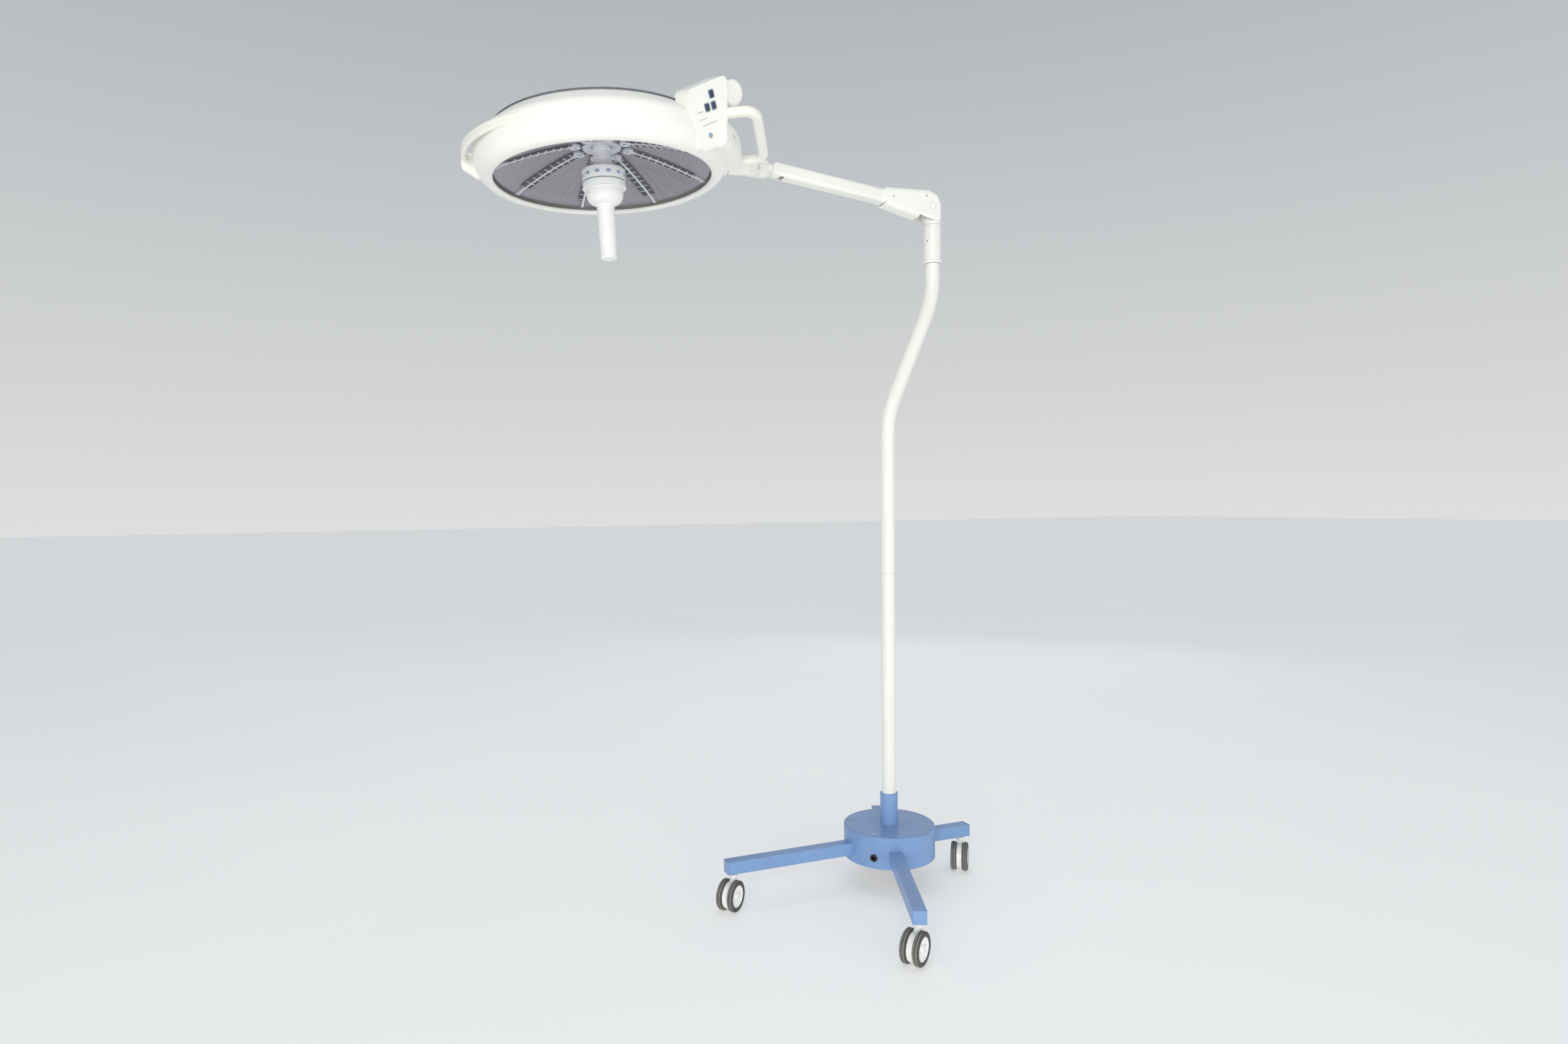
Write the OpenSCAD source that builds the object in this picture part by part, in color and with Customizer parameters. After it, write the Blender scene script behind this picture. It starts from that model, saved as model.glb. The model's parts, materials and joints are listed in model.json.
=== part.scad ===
// Mobile surgical light: a reflector lamp head on a sprung arm, carried by a cranked
// column that stands on a four-legged base with a weighted drum and twin-wheel casters.
// The origin is on the floor under the lower column; the lamp head hangs towards -X.

/* [Base] */
// Radius of the base drum
drum_r = 115; // [110:1:120]
// Height of the drum's lower edge above the floor
drum_bottom = 69; // [67:1:71]
// Height of the drum's flat top above the floor
drum_top = 147; // [145:1:152]
// Side of the square leg tube
leg_w = 30; // [28:1:30]
// Height of the legs' top face above the floor
leg_top = 115; // [114:1:116]
// Length of the two long legs from the column axis to the tip
leg_long = 445; // [400:5:480]
// Length of the two short legs from the column axis to the tip
leg_short = 234; // [220:2:260]
// Angle between the two long legs
leg_angle = 68; // [62:1:80]

/* [Casters] */
// Diameter of each caster wheel
wheel_d = 72; // [68:1:72]
// Width of one tyre
tyre_w = 14; // [12:1:16]
// Diameter of the white wheel centre
hub_d = 52; // [46:1:54]
// Thickness of the caster body between its wheels
fork_w = 14; // [14:1:16]
// Distance from the swivel axis back to the axle
caster_trail = 18; // [14:1:20]
// Distance from a leg's tip in to its caster
caster_inset = 20; // [18:1:26]

/* [Column] */
// Outer diameter of the column tubes
column_d = 36; // [34:1:37]
// Height where the lower column meets the cranked column
lower_top = 786; // [700:2:840]
// Height where the crank begins
crank_start = 1135; // [1100:1:1145]
// Angle of the crank from the vertical
crank_angle = 24; // [20:1:26]
// Radius of the two bends on the tube's centre line
bend_r = 238; // [200:2:250]
// Sideways distance between the lower and upper column axes
crank_offset = 131.5; // [125:0.5:135]
// Height of the blue socket's top edge
socket_top = 226; // [210:2:250]

/* [Swivel] */
// Outer diameter of the swivel sleeve
sleeve_d = 42.6; // [42:0.2:43.6]
// Height of the sleeve's lower edge
sleeve_bottom = 1568; // [1563:1:1576]
// Height of the sleeve's upper edge
sleeve_top = 1662; // [1658:1:1663]
// Diameter of the spindle that turns in the sleeve
spindle_d = 24; // [22:1:26]

/* [Spring arm] */
// Distance from the arm's rear pivot to its front pivot
arm_len = 418.4; // [400:0.4:420]
// Height of the arm tube's section
arm_h = 32; // [31:1:33]
// Width of the arm tube's section
arm_w = 38; // [37:1:39]
// Rise of the arm towards the lamp head at rest
arm_rise = 6; // [4:0.5:8]

/* [Lamp head] */
// Distance from the column axis out to the head's centre
head_reach = 712; // [700:1:716]
// Height of the head's face plane at its centre
head_height = 1680; // [1676:1:1683]
// Tilt of the face plane at rest
head_pitch = 3; // [2:0.5:4]
// Radius of the light opening
opening_r = 238; // [234:1:240]
// Largest radius of the head ring
ring_r = 276; // [274:1:278]
// Number of reflector segments
segments = 8; // [6:1:12]
// Diameter of the central lamp unit
hub_unit_d = 95; // [90:1:96]
// Diameter of the sterile handle where it leaves its guard
grip_d = 39; // [36:1:42]
// Length of the sterile handle below its guard
grip_len = 118; // [100:1:130]

/* [Hidden] */

run_fit = 0.05;          // radial clearance of a turning pin
gap = 0.3;               // clearance between parts that move past each other
eps = 0.01;              // overlap that makes a cut run through a face
$fn = 64;

// Legs: azimuth and length of each, long pair first
leg_dirs = [180, 180 + leg_angle, 0, leg_angle];
leg_lens = [leg_long, leg_long, leg_short, leg_short];
leg_wall = 4;
cap_t = 3;
leg_bottom = leg_top - leg_w;

// Casters
caster_headings = [41, 34, 52, 20];
stem_r = 5;
stem_flange_r = 10;
stem_flange_t = 3;
axle_r = 4;
fork_r = 31.5;
axle_z = wheel_d / 2;
wheel_y = fork_w / 2 + 0.5;
neck_low = wheel_d + 1;

// Drum
drum_wall = 3;
gland_dir = 221;
gland_z = 95;
gland_r = 8.75;
gland_bore_r = 4.5;

// Column
column_r = column_d / 2;
tube_wall = 2.5;
socket_wall = 4.2;
crank_run = (crank_offset - 2 * bend_r * (1 - cos(crank_angle))) / sin(crank_angle);
column_end = 1588;
screw_z = 1620;

// Arm pivots
pivot_x = crank_offset - 13.5;
pivot_z = 1704.4;
front_x = pivot_x - arm_len * cos(arm_rise);
front_z = pivot_z + arm_len * sin(arm_rise);
link_up = 11;            // the level rod's pins sit this far above the main pins
knuckle_r = 16;
blade_y = 12;
pin_r = 6;
front_pin_r = 5;
link_pin_r = 2.5;

// Yaw and roll axes of the head
yaw_back = 36;
yaw_x = front_x - yaw_back;
yaw_dx = yaw_x + head_reach;
yaw_dz = front_z - head_height;
roll_r = yaw_dx * cos(head_pitch) + yaw_dz * sin(head_pitch);
roll_z = -yaw_dx * sin(head_pitch) + yaw_dz * cos(head_pitch);
neck_r = 17;
roll_pin_r = 8;

// Lamp head
ring_mid_z = 42;
shoulder_z = 56;
shoulder_r = 20;
shoulder_turn = 52.6;
cover_r = 234;
cover_z = 98;
cover_rise = 26;
skin = 3;
glass_z = 5;
glass_t = 4;
mirror_low = 11;
mirror_high = 78;
mirror_power = 1.6;
lamp_tube_r = 20;
unit_top = 22;
unit_bottom = -20;
guard_bottom = -50;

// Control panel, set in the head's own frame
panel_pos = [165, -238, 68];
panel_az = 22;
panel_tilt = 13;
panel_turn = 27;
panel_depth = 42;
button_size = [10.5, 12.5];

// ---------- helpers ----------

function arc(cx, cy, rx, ry, a0, a1, n) =
    [for (i = [0:n]) let (a = a0 + (a1 - a0) * i / n) [cx + rx * cos(a), cy + ry * sin(a)]];

module rounded_rect(w, h, r) {
    square([w - 2 * r, h], center = true);
    square([w, h - 2 * r], center = true);
    for (x = [-1, 1], y = [-1, 1])
        translate([x * (w / 2 - r), y * (h / 2 - r)]) circle(r);
}

module tube(r_out, r_in, z0, z1) {
    difference() {
        translate([0, 0, z0]) cylinder(r = r_out, h = z1 - z0);
        translate([0, 0, z0 - 1]) cylinder(r = r_in, h = z1 - z0 + 2);
    }
}

// A pin along Y through the point [x, 0, z]
module cross_pin(x, z, r, half) {
    translate([x, half, z]) rotate([90, 0, 0]) cylinder(r = r, h = 2 * half);
}

module at_leg(i) {
    rotate([0, 0, leg_dirs[i]]) translate([leg_lens[i] - caster_inset, 0, 0]) rotate([0, 0, -leg_dirs[i]])
        children();
}

// Caster frame: swivel axis on Z, axle along Y, trail towards -X
module at_caster(i) {
    at_leg(i) rotate([0, 0, caster_headings[i]]) children();
}

module at_axle(i) {
    at_caster(i) translate([-caster_trail, 0, axle_z]) children();
}

// Arm frame: rear pivot at the origin, arm along -X
module at_arm() {
    translate([pivot_x, 0, pivot_z]) rotate([0, arm_rise, 0]) children();
}

module at_front() {
    translate([front_x, 0, front_z]) children();
}

module at_yaw() {
    translate([yaw_x, 0, front_z]) children();
}

// Head frame: face plane at Z = 0, light opening facing -Z
module at_head() {
    translate([-head_reach, 0, head_height]) rotate([0, -head_pitch, 0]) children();
}

// Panel frame: outward normal along -Y, panel's right along X, panel's top along Z
module at_panel() {
    at_head() translate(panel_pos) rotate([0, 0, panel_az]) rotate([panel_tilt, 0, 0])
        rotate([0, -panel_turn, 0]) children();
}

// ---------- casters ----------

module caster_stems() {
    color("silver") for (i = [0:3]) at_leg(i) {
        translate([0, 0, 56]) cylinder(r = stem_r, h = leg_top - leg_wall - 56);
        translate([0, 0, leg_bottom - stem_flange_t]) cylinder(r = stem_flange_r, h = stem_flange_t);
    }
}

module caster_fork(i) {
    color("white") difference() {
        union() {
            at_axle(i) rotate([90, 0, 0]) translate([0, 0, -fork_w / 2]) cylinder(r = fork_r, h = fork_w);
            at_caster(i) translate([0, 0, neck_low]) cylinder(r = 10.5, h = leg_bottom - stem_flange_t - gap - neck_low);
            at_caster(i) translate([-caster_trail, -fork_w / 2, axle_z]) cube([caster_trail + 7, fork_w, 38]);
        }
        at_caster(i) translate([0, 0, 55]) cylinder(r = stem_r + run_fit, h = 40);
        at_axle(i) cross_pin(0, 0, axle_r, fork_w);
    }
}

module caster_axle(i) {
    color("silver") at_axle(i) cross_pin(0, 0, axle_r, wheel_y + tyre_w - 2);
}

// side is 1 or -1 along the axle
module on_side(i, side) {
    at_axle(i) rotate([-90 * side, 0, 0]) translate([0, 0, wheel_y]) children();
}

module wheel_hub(i, side) {
    color("white") on_side(i, side) difference() {
        rotate_extrude() polygon(concat([[0, 0], [hub_d / 2, 0], [hub_d / 2, tyre_w - 3]],
            arc(hub_d / 2 - 3, tyre_w - 3, 3, 3, 0, 90, 6), [[0, tyre_w]]));
        translate([0, 0, -1]) cylinder(r = axle_r + run_fit, h = tyre_w - 1);
    }
}

module wheel_tyre(i, side) {
    color("dimgray") on_side(i, side) rotate_extrude() polygon(concat(
        [[hub_d / 2, 0]], arc(wheel_d / 2 - 5, 4, 5, 4, -90, 0, 6),
        arc(wheel_d / 2 - 5, tyre_w - 5, 5, 5, 0, 90, 6), [[hub_d / 2, tyre_w]]));
}

// ---------- base ----------

module leg_pair(angle, w, trim) {
    rotate([0, 0, angle]) translate([-(leg_long - trim), -w / 2, leg_top - leg_w / 2 - w / 2])
        cube([leg_long + leg_short - 2 * trim, w, w]);
}

module leg_frame() {
    color("cornflowerblue") difference() {
        union() {
            leg_pair(0, leg_w, cap_t);
            leg_pair(leg_angle, leg_w, cap_t);
        }
        leg_pair(0, leg_w - 2 * leg_wall, cap_t - 1);
        leg_pair(leg_angle, leg_w - 2 * leg_wall, cap_t - 1);
        for (i = [0:3]) at_leg(i) translate([0, 0, leg_bottom - 1]) cylinder(r = stem_r, h = leg_wall + 2);
    }
}

module leg_end_caps() {
    color("cornflowerblue") for (i = [0:3]) rotate([0, 0, leg_dirs[i]])
        translate([leg_lens[i] - cap_t, -leg_w / 2, leg_bottom]) cube([cap_t, leg_w, leg_w]);
}

module drum_shell() {
    edge = 4;
    color("cornflowerblue") difference() {
        rotate_extrude() polygon(concat([[drum_r - drum_wall, drum_bottom], [drum_r, drum_bottom],
            [drum_r, drum_top - edge]], arc(drum_r - edge, drum_top - edge, edge, edge, 0, 90, 8),
            [[column_r + socket_wall, drum_top], [column_r + socket_wall, drum_top - drum_wall],
            [drum_r - drum_wall, drum_top - drum_wall]]));
        leg_pair(0, leg_w + 0.4, cap_t);
        leg_pair(leg_angle, leg_w + 0.4, cap_t);
        rotate([0, 0, gland_dir]) translate([drum_r - 10, 0, gland_z]) rotate([0, 90, 0])
            cylinder(r = 6, h = 20);
    }
}

module transformer_place() {
    rotate([0, 0, 90 + leg_angle / 2]) translate([66, 0, leg_bottom]) children();
}

module ballast_plate() {
    r = drum_r - drum_wall - 1;
    low = drum_bottom + 2;
    color("dimgray") union() {
        translate([0, 0, low]) rotate([0, 0, 30]) cylinder(r = r, h = leg_bottom - low);
        difference() {
            translate([0, 0, leg_bottom - 1]) rotate([0, 0, 30]) cylinder(r = r - 0.5, h = drum_top - drum_wall - leg_bottom + 1);
            for (a = [0, leg_angle]) rotate([0, 0, a])
                translate([-150, -leg_w / 2 - 0.5, leg_bottom - 2]) cube([300, leg_w + 1, 100]);
            translate([-26, -26, leg_bottom - 2]) cube([52, 52, 100]);
            rotate([0, 0, 90 + leg_angle / 2]) translate([32, -33, leg_bottom - 2]) cube([100, 66, 100]);
            rotate([0, 0, gland_dir]) translate([drum_r - 22, -8.5, gland_z - 8.5]) cube([30, 17, 17]);
        }
    }
}

module transformer() {
    color("peru") transformer_place() difference() {
        rotate_extrude() translate([19, 24]) rounded_rect(22, 46, 8);
        translate([0, 0, -1]) cylinder(r = 7, h = 60);
    }
}

module column_socket() {
    color("cornflowerblue") difference() {
        tube(column_r + socket_wall, column_r, leg_top, socket_top);
        rotate([0, 0, 70]) translate([0, 0, socket_top - 24]) rotate([0, 90, 0]) cylinder(r = 3, h = 40);
    }
}

module cable_gland() {
    color("black") rotate([0, 0, gland_dir]) translate([drum_r, 0, gland_z]) rotate([0, 90, 0]) difference() {
        union() {
            translate([0, 0, -13]) cylinder(r = 6, h = 13 + eps);
            cylinder(r = gland_r, h = 2);
        }
        translate([0, 0, -20]) cylinder(r = gland_bore_r, h = 40);
    }
}

// ---------- column ----------

module lower_column() {
    color("ivory") tube(column_r, column_r - tube_wall, leg_top, lower_top);
}

// Solid rod of radius r that follows the cranked column's centre line
module crank_path(r, z0, z1) {
    translate([0, 0, z0]) cylinder(r = r, h = crank_start - z0 + 0.4);
    translate([bend_r, 0, crank_start]) rotate([90, 0, 0])
        rotate([0, 0, 180 - crank_angle]) rotate_extrude(angle = crank_angle)
            translate([bend_r, 0]) circle(r);
    translate([bend_r * (1 - cos(crank_angle)), 0, crank_start + bend_r * sin(crank_angle)])
        rotate([0, crank_angle, 0]) {
            translate([0, 0, -0.4]) cylinder(r = r, h = crank_run + 0.8);
            translate([-bend_r, 0, crank_run]) rotate([90, 0, 0])
                rotate_extrude(angle = crank_angle) translate([bend_r, 0]) circle(r);
        }
    upper_z = crank_start + 2 * bend_r * sin(crank_angle) + crank_run * cos(crank_angle);
    translate([crank_offset, 0, upper_z - 0.4]) cylinder(r = r, h = z1 - upper_z + 0.4);
}

module cranked_column() {
    spigot_r = column_r - tube_wall;
    color("ivory") difference() {
        union() {
            crank_path(column_r, lower_top, column_end);
            translate([0, 0, lower_top - 60]) cylinder(r = spigot_r, h = 61);
        }
        crank_path(spigot_r - 2, lower_top - 61, column_end + 1);
    }
}

module swivel_sleeve() {
    spindle_r = spindle_d / 2;
    color("ivory") translate([crank_offset, 0, 0]) difference() {
        translate([0, 0, sleeve_bottom]) cylinder(r = sleeve_d / 2, h = sleeve_top - sleeve_bottom);
        translate([0, 0, sleeve_bottom - 1]) cylinder(r = column_r, h = column_end - sleeve_bottom + 1);
        translate([0, 0, sleeve_bottom]) cylinder(r = spindle_r + run_fit, h = 200);
        rotate([0, 0, 205]) translate([0, 0, screw_z]) rotate([0, 90, 0]) cylinder(r = 3, h = 40);
    }
}

module fixing_screws() {
    color("gray") {
        translate([crank_offset, 0, screw_z]) rotate([0, 0, 205]) rotate([0, 90, 0])
            translate([0, 0, spindle_d / 2 + 1]) cylinder(r = 3, h = sleeve_d / 2 - spindle_d / 2 - 0.5);
        rotate([0, 0, 70]) translate([column_r, 0, socket_top - 24]) rotate([0, 90, 0])
            cylinder(r = 3, h = socket_wall + 1);
    }
}

// ---------- arm ----------

module arm_knuckle() {
    color("gainsboro") difference() {
        union() {
            translate([crank_offset, 0, 1594]) cylinder(r = spindle_d / 2, h = sleeve_top + 1 - 1594);
            translate([crank_offset, 0, sleeve_top + gap]) cylinder(r = sleeve_d / 2, h = 1672 - sleeve_top - gap);
            translate([pivot_x - 12, -blade_y, 1671]) cube([34, 2 * blade_y, pivot_z - 1671]);
            cross_pin(pivot_x, pivot_z, knuckle_r, blade_y);
        }
        cross_pin(pivot_x, pivot_z, pin_r, 30);
        cross_pin(pivot_x, pivot_z + link_up, link_pin_r, 30);
        translate([pivot_x - 20, -3.4, pivot_z - 2]) cube([60, 6.8, 30]);
    }
}

module knuckle_pins() {
    color("silver") {
        cross_pin(pivot_x, pivot_z, pin_r, arm_w / 2);
        cross_pin(pivot_x, pivot_z + link_up, link_pin_r, blade_y);
    }
}

module arm_section(w, h, r, x0, x1) {
    translate([x1, 0, 0]) rotate([0, -90, 0]) linear_extrude(x1 - x0) rounded_rect(h, w, r);
}

module arm_tube() {
    wall = 2.5;
    front_half = 14;
    rear_half = blade_y + gap;
    color("ivory") at_arm() difference() {
        union() {
            difference() {
                arm_section(arm_w, arm_h, 9, -arm_len, 0);
                arm_section(arm_w - 2 * wall, arm_h - 2 * wall, 6.5, -arm_len - 1, 1);
            }
            intersection() {
                arm_section(arm_w, arm_h, 9, -arm_len - 40, 40);
                union() {
                    for (s = [-1, 1]) {
                        translate([-50, s > 0 ? rear_half : -arm_w / 2, -20]) cube([50, arm_w / 2 - rear_half, 40]);
                        translate([-arm_len, s > 0 ? front_half : -arm_w / 2, -20])
                            cube([24, arm_w / 2 - front_half, 40]);
                    }
                    cross_pin(0, 0, arm_h / 2, arm_w / 2);
                    cross_pin(-arm_len, 0, arm_h / 2, arm_w / 2);
                    translate([-56, -arm_w / 2 + 1, -arm_h / 2 + 1]) cube([4, arm_w - 2, arm_h - 2]);
                    translate([-256, -arm_w / 2 + 1, -arm_h / 2 + 1]) cube([4, arm_w - 2, arm_h - 2]);
                }
            }
        }
        translate([-48, -rear_half, -30]) cube([100, 2 * rear_half, 60]);
        translate([-arm_len - 40, -front_half, -30]) cube([57.5, 2 * front_half, 60]);
        cross_pin(0, 0, pin_r + run_fit, 40);
        cross_pin(-arm_len, 0, front_pin_r + run_fit, 40);
        translate([-300, 0, link_up - 0.6]) rotate([0, 90, 0]) cylinder(r = 3.4, h = 260);
    }
}

// Outline points of the corner cover, inset by the edge radius
cover_edge = 12;
cover_half_rear = 25.2 - cover_edge;
cover_half_front = 22.5 - cover_edge;

module cover_solid(r) {
    hull() {
        for (s = [-1, 1]) {
            translate([-30, s * cover_half_front, 1711.8]) sphere(r, $fn = 24);
            translate([-30, s * cover_half_front, 1726.6]) sphere(r, $fn = 24);
            translate([122, s * cover_half_rear, 1678]) sphere(r, $fn = 24);
            translate([135, s * cover_half_rear, 1678]) sphere(r, $fn = 24);
            translate([135, s * cover_half_rear, 1707]) sphere(r, $fn = 24);
            translate([127.6, s * cover_half_rear, 1725]) sphere(r, $fn = 24);
            translate([110, s * cover_half_rear, 1732.5]) sphere(r, $fn = 24);
        }
    }
}

module corner_cover() {
    color("ivory") difference() {
        cover_solid(cover_edge);
        cover_solid(cover_edge - 3);
        translate([-60, -40, 1600]) cube([46, 80, 200]);
        translate([81, -22.2, 1600]) cube([100, 44.4, 1706 - 1600]);
        translate([-60, -40, 1600]) cube([260, 80, 68]);
    }
    color("ivory") at_arm() for (s = [-1, 1])
        translate([-100, s > 0 ? arm_w / 2 : -21.4, 0]) rotate([-90, 0, 0]) cylinder(r = 5, h = 21.4 - arm_w / 2);
}

// Coil spring along -X, one closed tube swept round a helix
module arm_spring() {
    turns = 12;
    steps = 14;
    sides = 6;
    coil_r = 6.4;
    wire_r = 1.3;
    x0 = -60;
    pitch = 15;
    n = turns * steps;
    points = [for (i = [0:n], j = [0:sides - 1])
        let (t = 360 * i / steps, a = 360 * j / sides, r = coil_r + wire_r * cos(a))
        [x0 - pitch * i / steps + wire_r * sin(a), r * cos(t), r * sin(t) - 5]];
    sides_faces = [for (i = [0:n - 1], j = [0:sides - 1])
        let (a = i * sides + j, b = i * sides + (j + 1) % sides)
        [a, b, b + sides, a + sides]];
    ends = [[for (j = [sides - 1:-1:0]) j], [for (j = [0:sides - 1]) n * sides + j]];
    color("gray") at_arm() polyhedron(points, concat(sides_faces, ends), convexity = 10);
}

module level_rod() {
    eye_r = 4.4;
    color("silver") difference() {
        union() {
            translate([0, 0, link_up]) at_arm() translate([-arm_len + 3, 0, 0]) rotate([0, 90, 0])
                cylinder(r = 2, h = arm_len - 6);
            cross_pin(pivot_x, pivot_z + link_up, eye_r, 3);
            cross_pin(front_x, front_z + link_up, eye_r, 3);
        }
        cross_pin(pivot_x, pivot_z + link_up, link_pin_r + run_fit, 20);
        cross_pin(front_x, front_z + link_up, link_pin_r + 0.4, 20);
    }
}

module end_knuckle() {
    half = 13.7;
    tongue = 8;
    color("ivory") at_front() difference() {
        union() {
            cross_pin(0, 0, knuckle_r, half);
            translate([-yaw_back, -half, -tongue]) cube([yaw_back, 2 * half, 2 * tongue]);
            translate([-yaw_back, 0, -tongue]) cylinder(r = knuckle_r, h = 2 * tongue);
        }
        cross_pin(0, 0, front_pin_r, 40);
        cross_pin(0, link_up, link_pin_r, 40);
        translate([-yaw_back, 0, -20]) cylinder(r = front_pin_r, h = 40);
        translate([-12, -3.4, -2]) cube([60, 6.8, 30]);
    }
}

module end_pins() {
    color("silver") {
        at_front() {
            cross_pin(0, 0, front_pin_r, arm_w / 2);
            cross_pin(0, link_up, link_pin_r, 13.7);
        }
        at_yaw() translate([0, 0, -15]) cylinder(r = front_pin_r, h = 30);
    }
}

module head_yoke() {
    ear_in = 8.3;
    ear_out = 15;
    neck_end = ring_r + 6 + gap;
    color("ivory") at_yaw() difference() {
        union() {
            for (z = [-ear_out, ear_in]) translate([0, 0, z]) {
                cylinder(r = neck_r, h = ear_out - ear_in);
                translate([-30, -neck_r, 0]) cube([30, 2 * neck_r, ear_out - ear_in]);
            }
            translate([-34, -neck_r, -ear_out]) cube([34 - neck_r - 0.8, 2 * neck_r, 2 * ear_out]);
            rotate([0, -head_pitch, 0]) translate([-roll_r + neck_end, 0, 0]) rotate([0, 90, 0])
                cylinder(r = neck_r, h = roll_r - neck_end - neck_r - 2);
            rotate([0, -head_pitch, 0]) translate([-roll_r + 246, 0, 0]) rotate([0, 90, 0])
                cylinder(r = roll_pin_r, h = 60);
        }
        translate([0, 0, -20]) cylinder(r = front_pin_r + run_fit, h = 40);
    }
}

// ---------- lamp head ----------

function shoulder(r, n) = arc(ring_r - shoulder_r, shoulder_z, r, r, 0, shoulder_turn, n);

function ring_outside() = concat(
    arc(opening_r + 5, 2, 5, 5, 180, 270, 5),
    arc(244, ring_mid_z, ring_r - 244, ring_mid_z + 3, -90, 0, 12),
    shoulder(shoulder_r, 7), [[cover_r, cover_z]]);

function ring_inside() = concat(
    shoulder_reverse(),
    arc(244, ring_mid_z, ring_r - skin - 244, ring_mid_z, 0, -78, 10));

function shoulder_reverse() = let (p = shoulder(shoulder_r - skin, 6)) [for (i = [6:-1:0]) p[i]];

// Solid as big as the whole head, used to trim what sits on its outside
module head_envelope() {
    rotate_extrude() polygon(concat([[0, 2], [opening_r, 2]], ring_outside(),
        arc(0, cover_z, cover_r, cover_rise, 0, 90, 12)));
}

module ring_housing() {
    boss_r = 15;
    color("ivory") at_head() difference() {
        union() {
            rotate_extrude() polygon(concat([[opening_r, glass_z]], ring_outside(),
                [[cover_r - 8, cover_z], [cover_r - 8, cover_z - skin], [cover_r - 1, cover_z - skin]],
                ring_inside(), [[250, glass_z]]));
            translate([250, 0, roll_z]) rotate([0, 90, 0]) cylinder(r = boss_r, h = ring_r + 6 - 250);
        }
        translate([200, 0, roll_z]) rotate([0, 90, 0]) cylinder(r = roll_pin_r + run_fit, h = 120);
    }
}

module back_cover() {
    t = 2.5;
    color("lightgray") at_head() {
        rotate_extrude() polygon(concat([[cover_r - 8, cover_z]],
            arc(0, cover_z, cover_r, cover_rise, 0, 90, 16), [[0, cover_z + cover_rise - t]],
            [for (a = [84:-6:12]) [(cover_r - t) * cos(a), cover_z + (cover_rise - t) * sin(a)]]));
        tube(22, 14, 84, cover_z + cover_rise - t / 2);
    }
}

module front_glass() {
    color([0.85, 0.92, 0.95, 0.35]) at_head() tube(246, hub_unit_d / 2 + 0.5, glass_z, glass_z + glass_t);
}

function mirror_z(r) = mirror_high - (mirror_high - mirror_low) * pow(r / 243, mirror_power);
function mirror_rs() = [for (i = [0:12]) 21 + (236 - 21) * i / 12];

module reflector() {
    t = 1.5;
    color("silver") at_head() rotate_extrude() polygon(concat(
        [for (r = mirror_rs()) [r, mirror_z(r)]],
        [[246, glass_z + glass_t], [246, glass_z + glass_t + t]],
        [for (i = [12:-1:0]) let (r = mirror_rs()[i]) [r, mirror_z(r) + t]]));
}

module reflector_ribs() {
    rs = [for (i = [2:12]) mirror_rs()[i]];
    depth = 5;
    color("lightsteelblue") at_head() for (k = [0:segments - 1]) rotate([0, 0, 360 * k / segments])
        translate([0, 2.5, 0]) rotate([90, 0, 0]) linear_extrude(5) polygon(concat(
            [for (r = rs) [r, mirror_z(r) - 0.3]],
            [[236, glass_z + glass_t], [229, glass_z + glass_t]],
            [for (i = [len(rs) - 2:-1:0]) [rs[i], mirror_z(rs[i]) - depth]]));
}

module lamp_tube() {
    color([0.9, 0.9, 0.95, 0.5]) at_head() tube(lamp_tube_r, lamp_tube_r - 1.5, unit_top, 84);
}

module bulb() {
    color("lightyellow") at_head() rotate_extrude() polygon(concat([[0, unit_top + 24], [6, unit_top + 24],
        [6, 66]], arc(0, 66, 6, 6, 0, 90, 6)));
}

module lamp_unit() {
    r = hub_unit_d / 2;
    color("white") at_head() difference() {
        union() {
            rotate_extrude() polygon([[0, unit_top], [0, unit_bottom], [r, unit_bottom], [r, -8.5],
                [r - 1.5, -8], [r - 1.5, -6], [r, -5.5], [r, unit_top - 4], [r - 4, unit_top]]);
            translate([0, 0, unit_top - eps]) cylinder(r = 9, h = 24 + eps);
            for (a = [0:120:240]) rotate([0, 0, a]) translate([16.3, 0, unit_top - eps])
                cylinder(r = 1.5, h = 84 - unit_top + eps);
        }
        translate([0, 0, unit_bottom - 1]) cylinder(r = roll_pin_r + run_fit, h = 31);
        for (a = [0:30:330]) rotate([0, 0, a]) translate([r - 1.5, -5, 3]) cube([10, 10, 7]);
    }
}

module sterile_handle() {
    guard_r = 41.5;
    top = unit_bottom - gap;
    low = guard_bottom - 4 - grip_len;
    tip_r = grip_d / 2 - 2;
    color("white") at_head() rotate_extrude() polygon(concat(
        [[0, 8], [roll_pin_r, 8], [roll_pin_r, top], [guard_r, top], [guard_r, top - 8]],
        arc(grip_d / 2 + 2, top - 8, guard_r - grip_d / 2 - 2, -guard_bottom + top - 8 + 0.01, 0, -90, 8),
        [[grip_d / 2, guard_bottom - 4]], arc(tip_r - 3, low + 3, 3, 3, 0, -90, 5), [[0, low]]));
}

// Curved strap of the left handle: the arc's centre sits off the head's axis
module grab_handle_left() {
    $fn = 192;
    offset_r = 42;
    strap_r = 253;
    strap_z = 51;
    color("ivory") at_head() difference() {
        union() {
            rotate([0, 0, 161]) translate([offset_r, 0, strap_z]) rotate([0, 0, 3])
                rotate_extrude(angle = 70) translate([strap_r, 0]) rounded_rect(10, 19, 4);
            rotate([0, 0, 165]) translate([0, 8, 0]) rotate([90, 0, 0]) linear_extrude(16)
                polygon(concat([[250, 8], [272, 8], [294, 24]], arc(296, 32, 6, 6, -40, 0, 3),
                    arc(296, 54.5, 6, 6, 0, 90, 5), [[250, 60.5]]));
        }
        head_envelope();
    }
}

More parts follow.
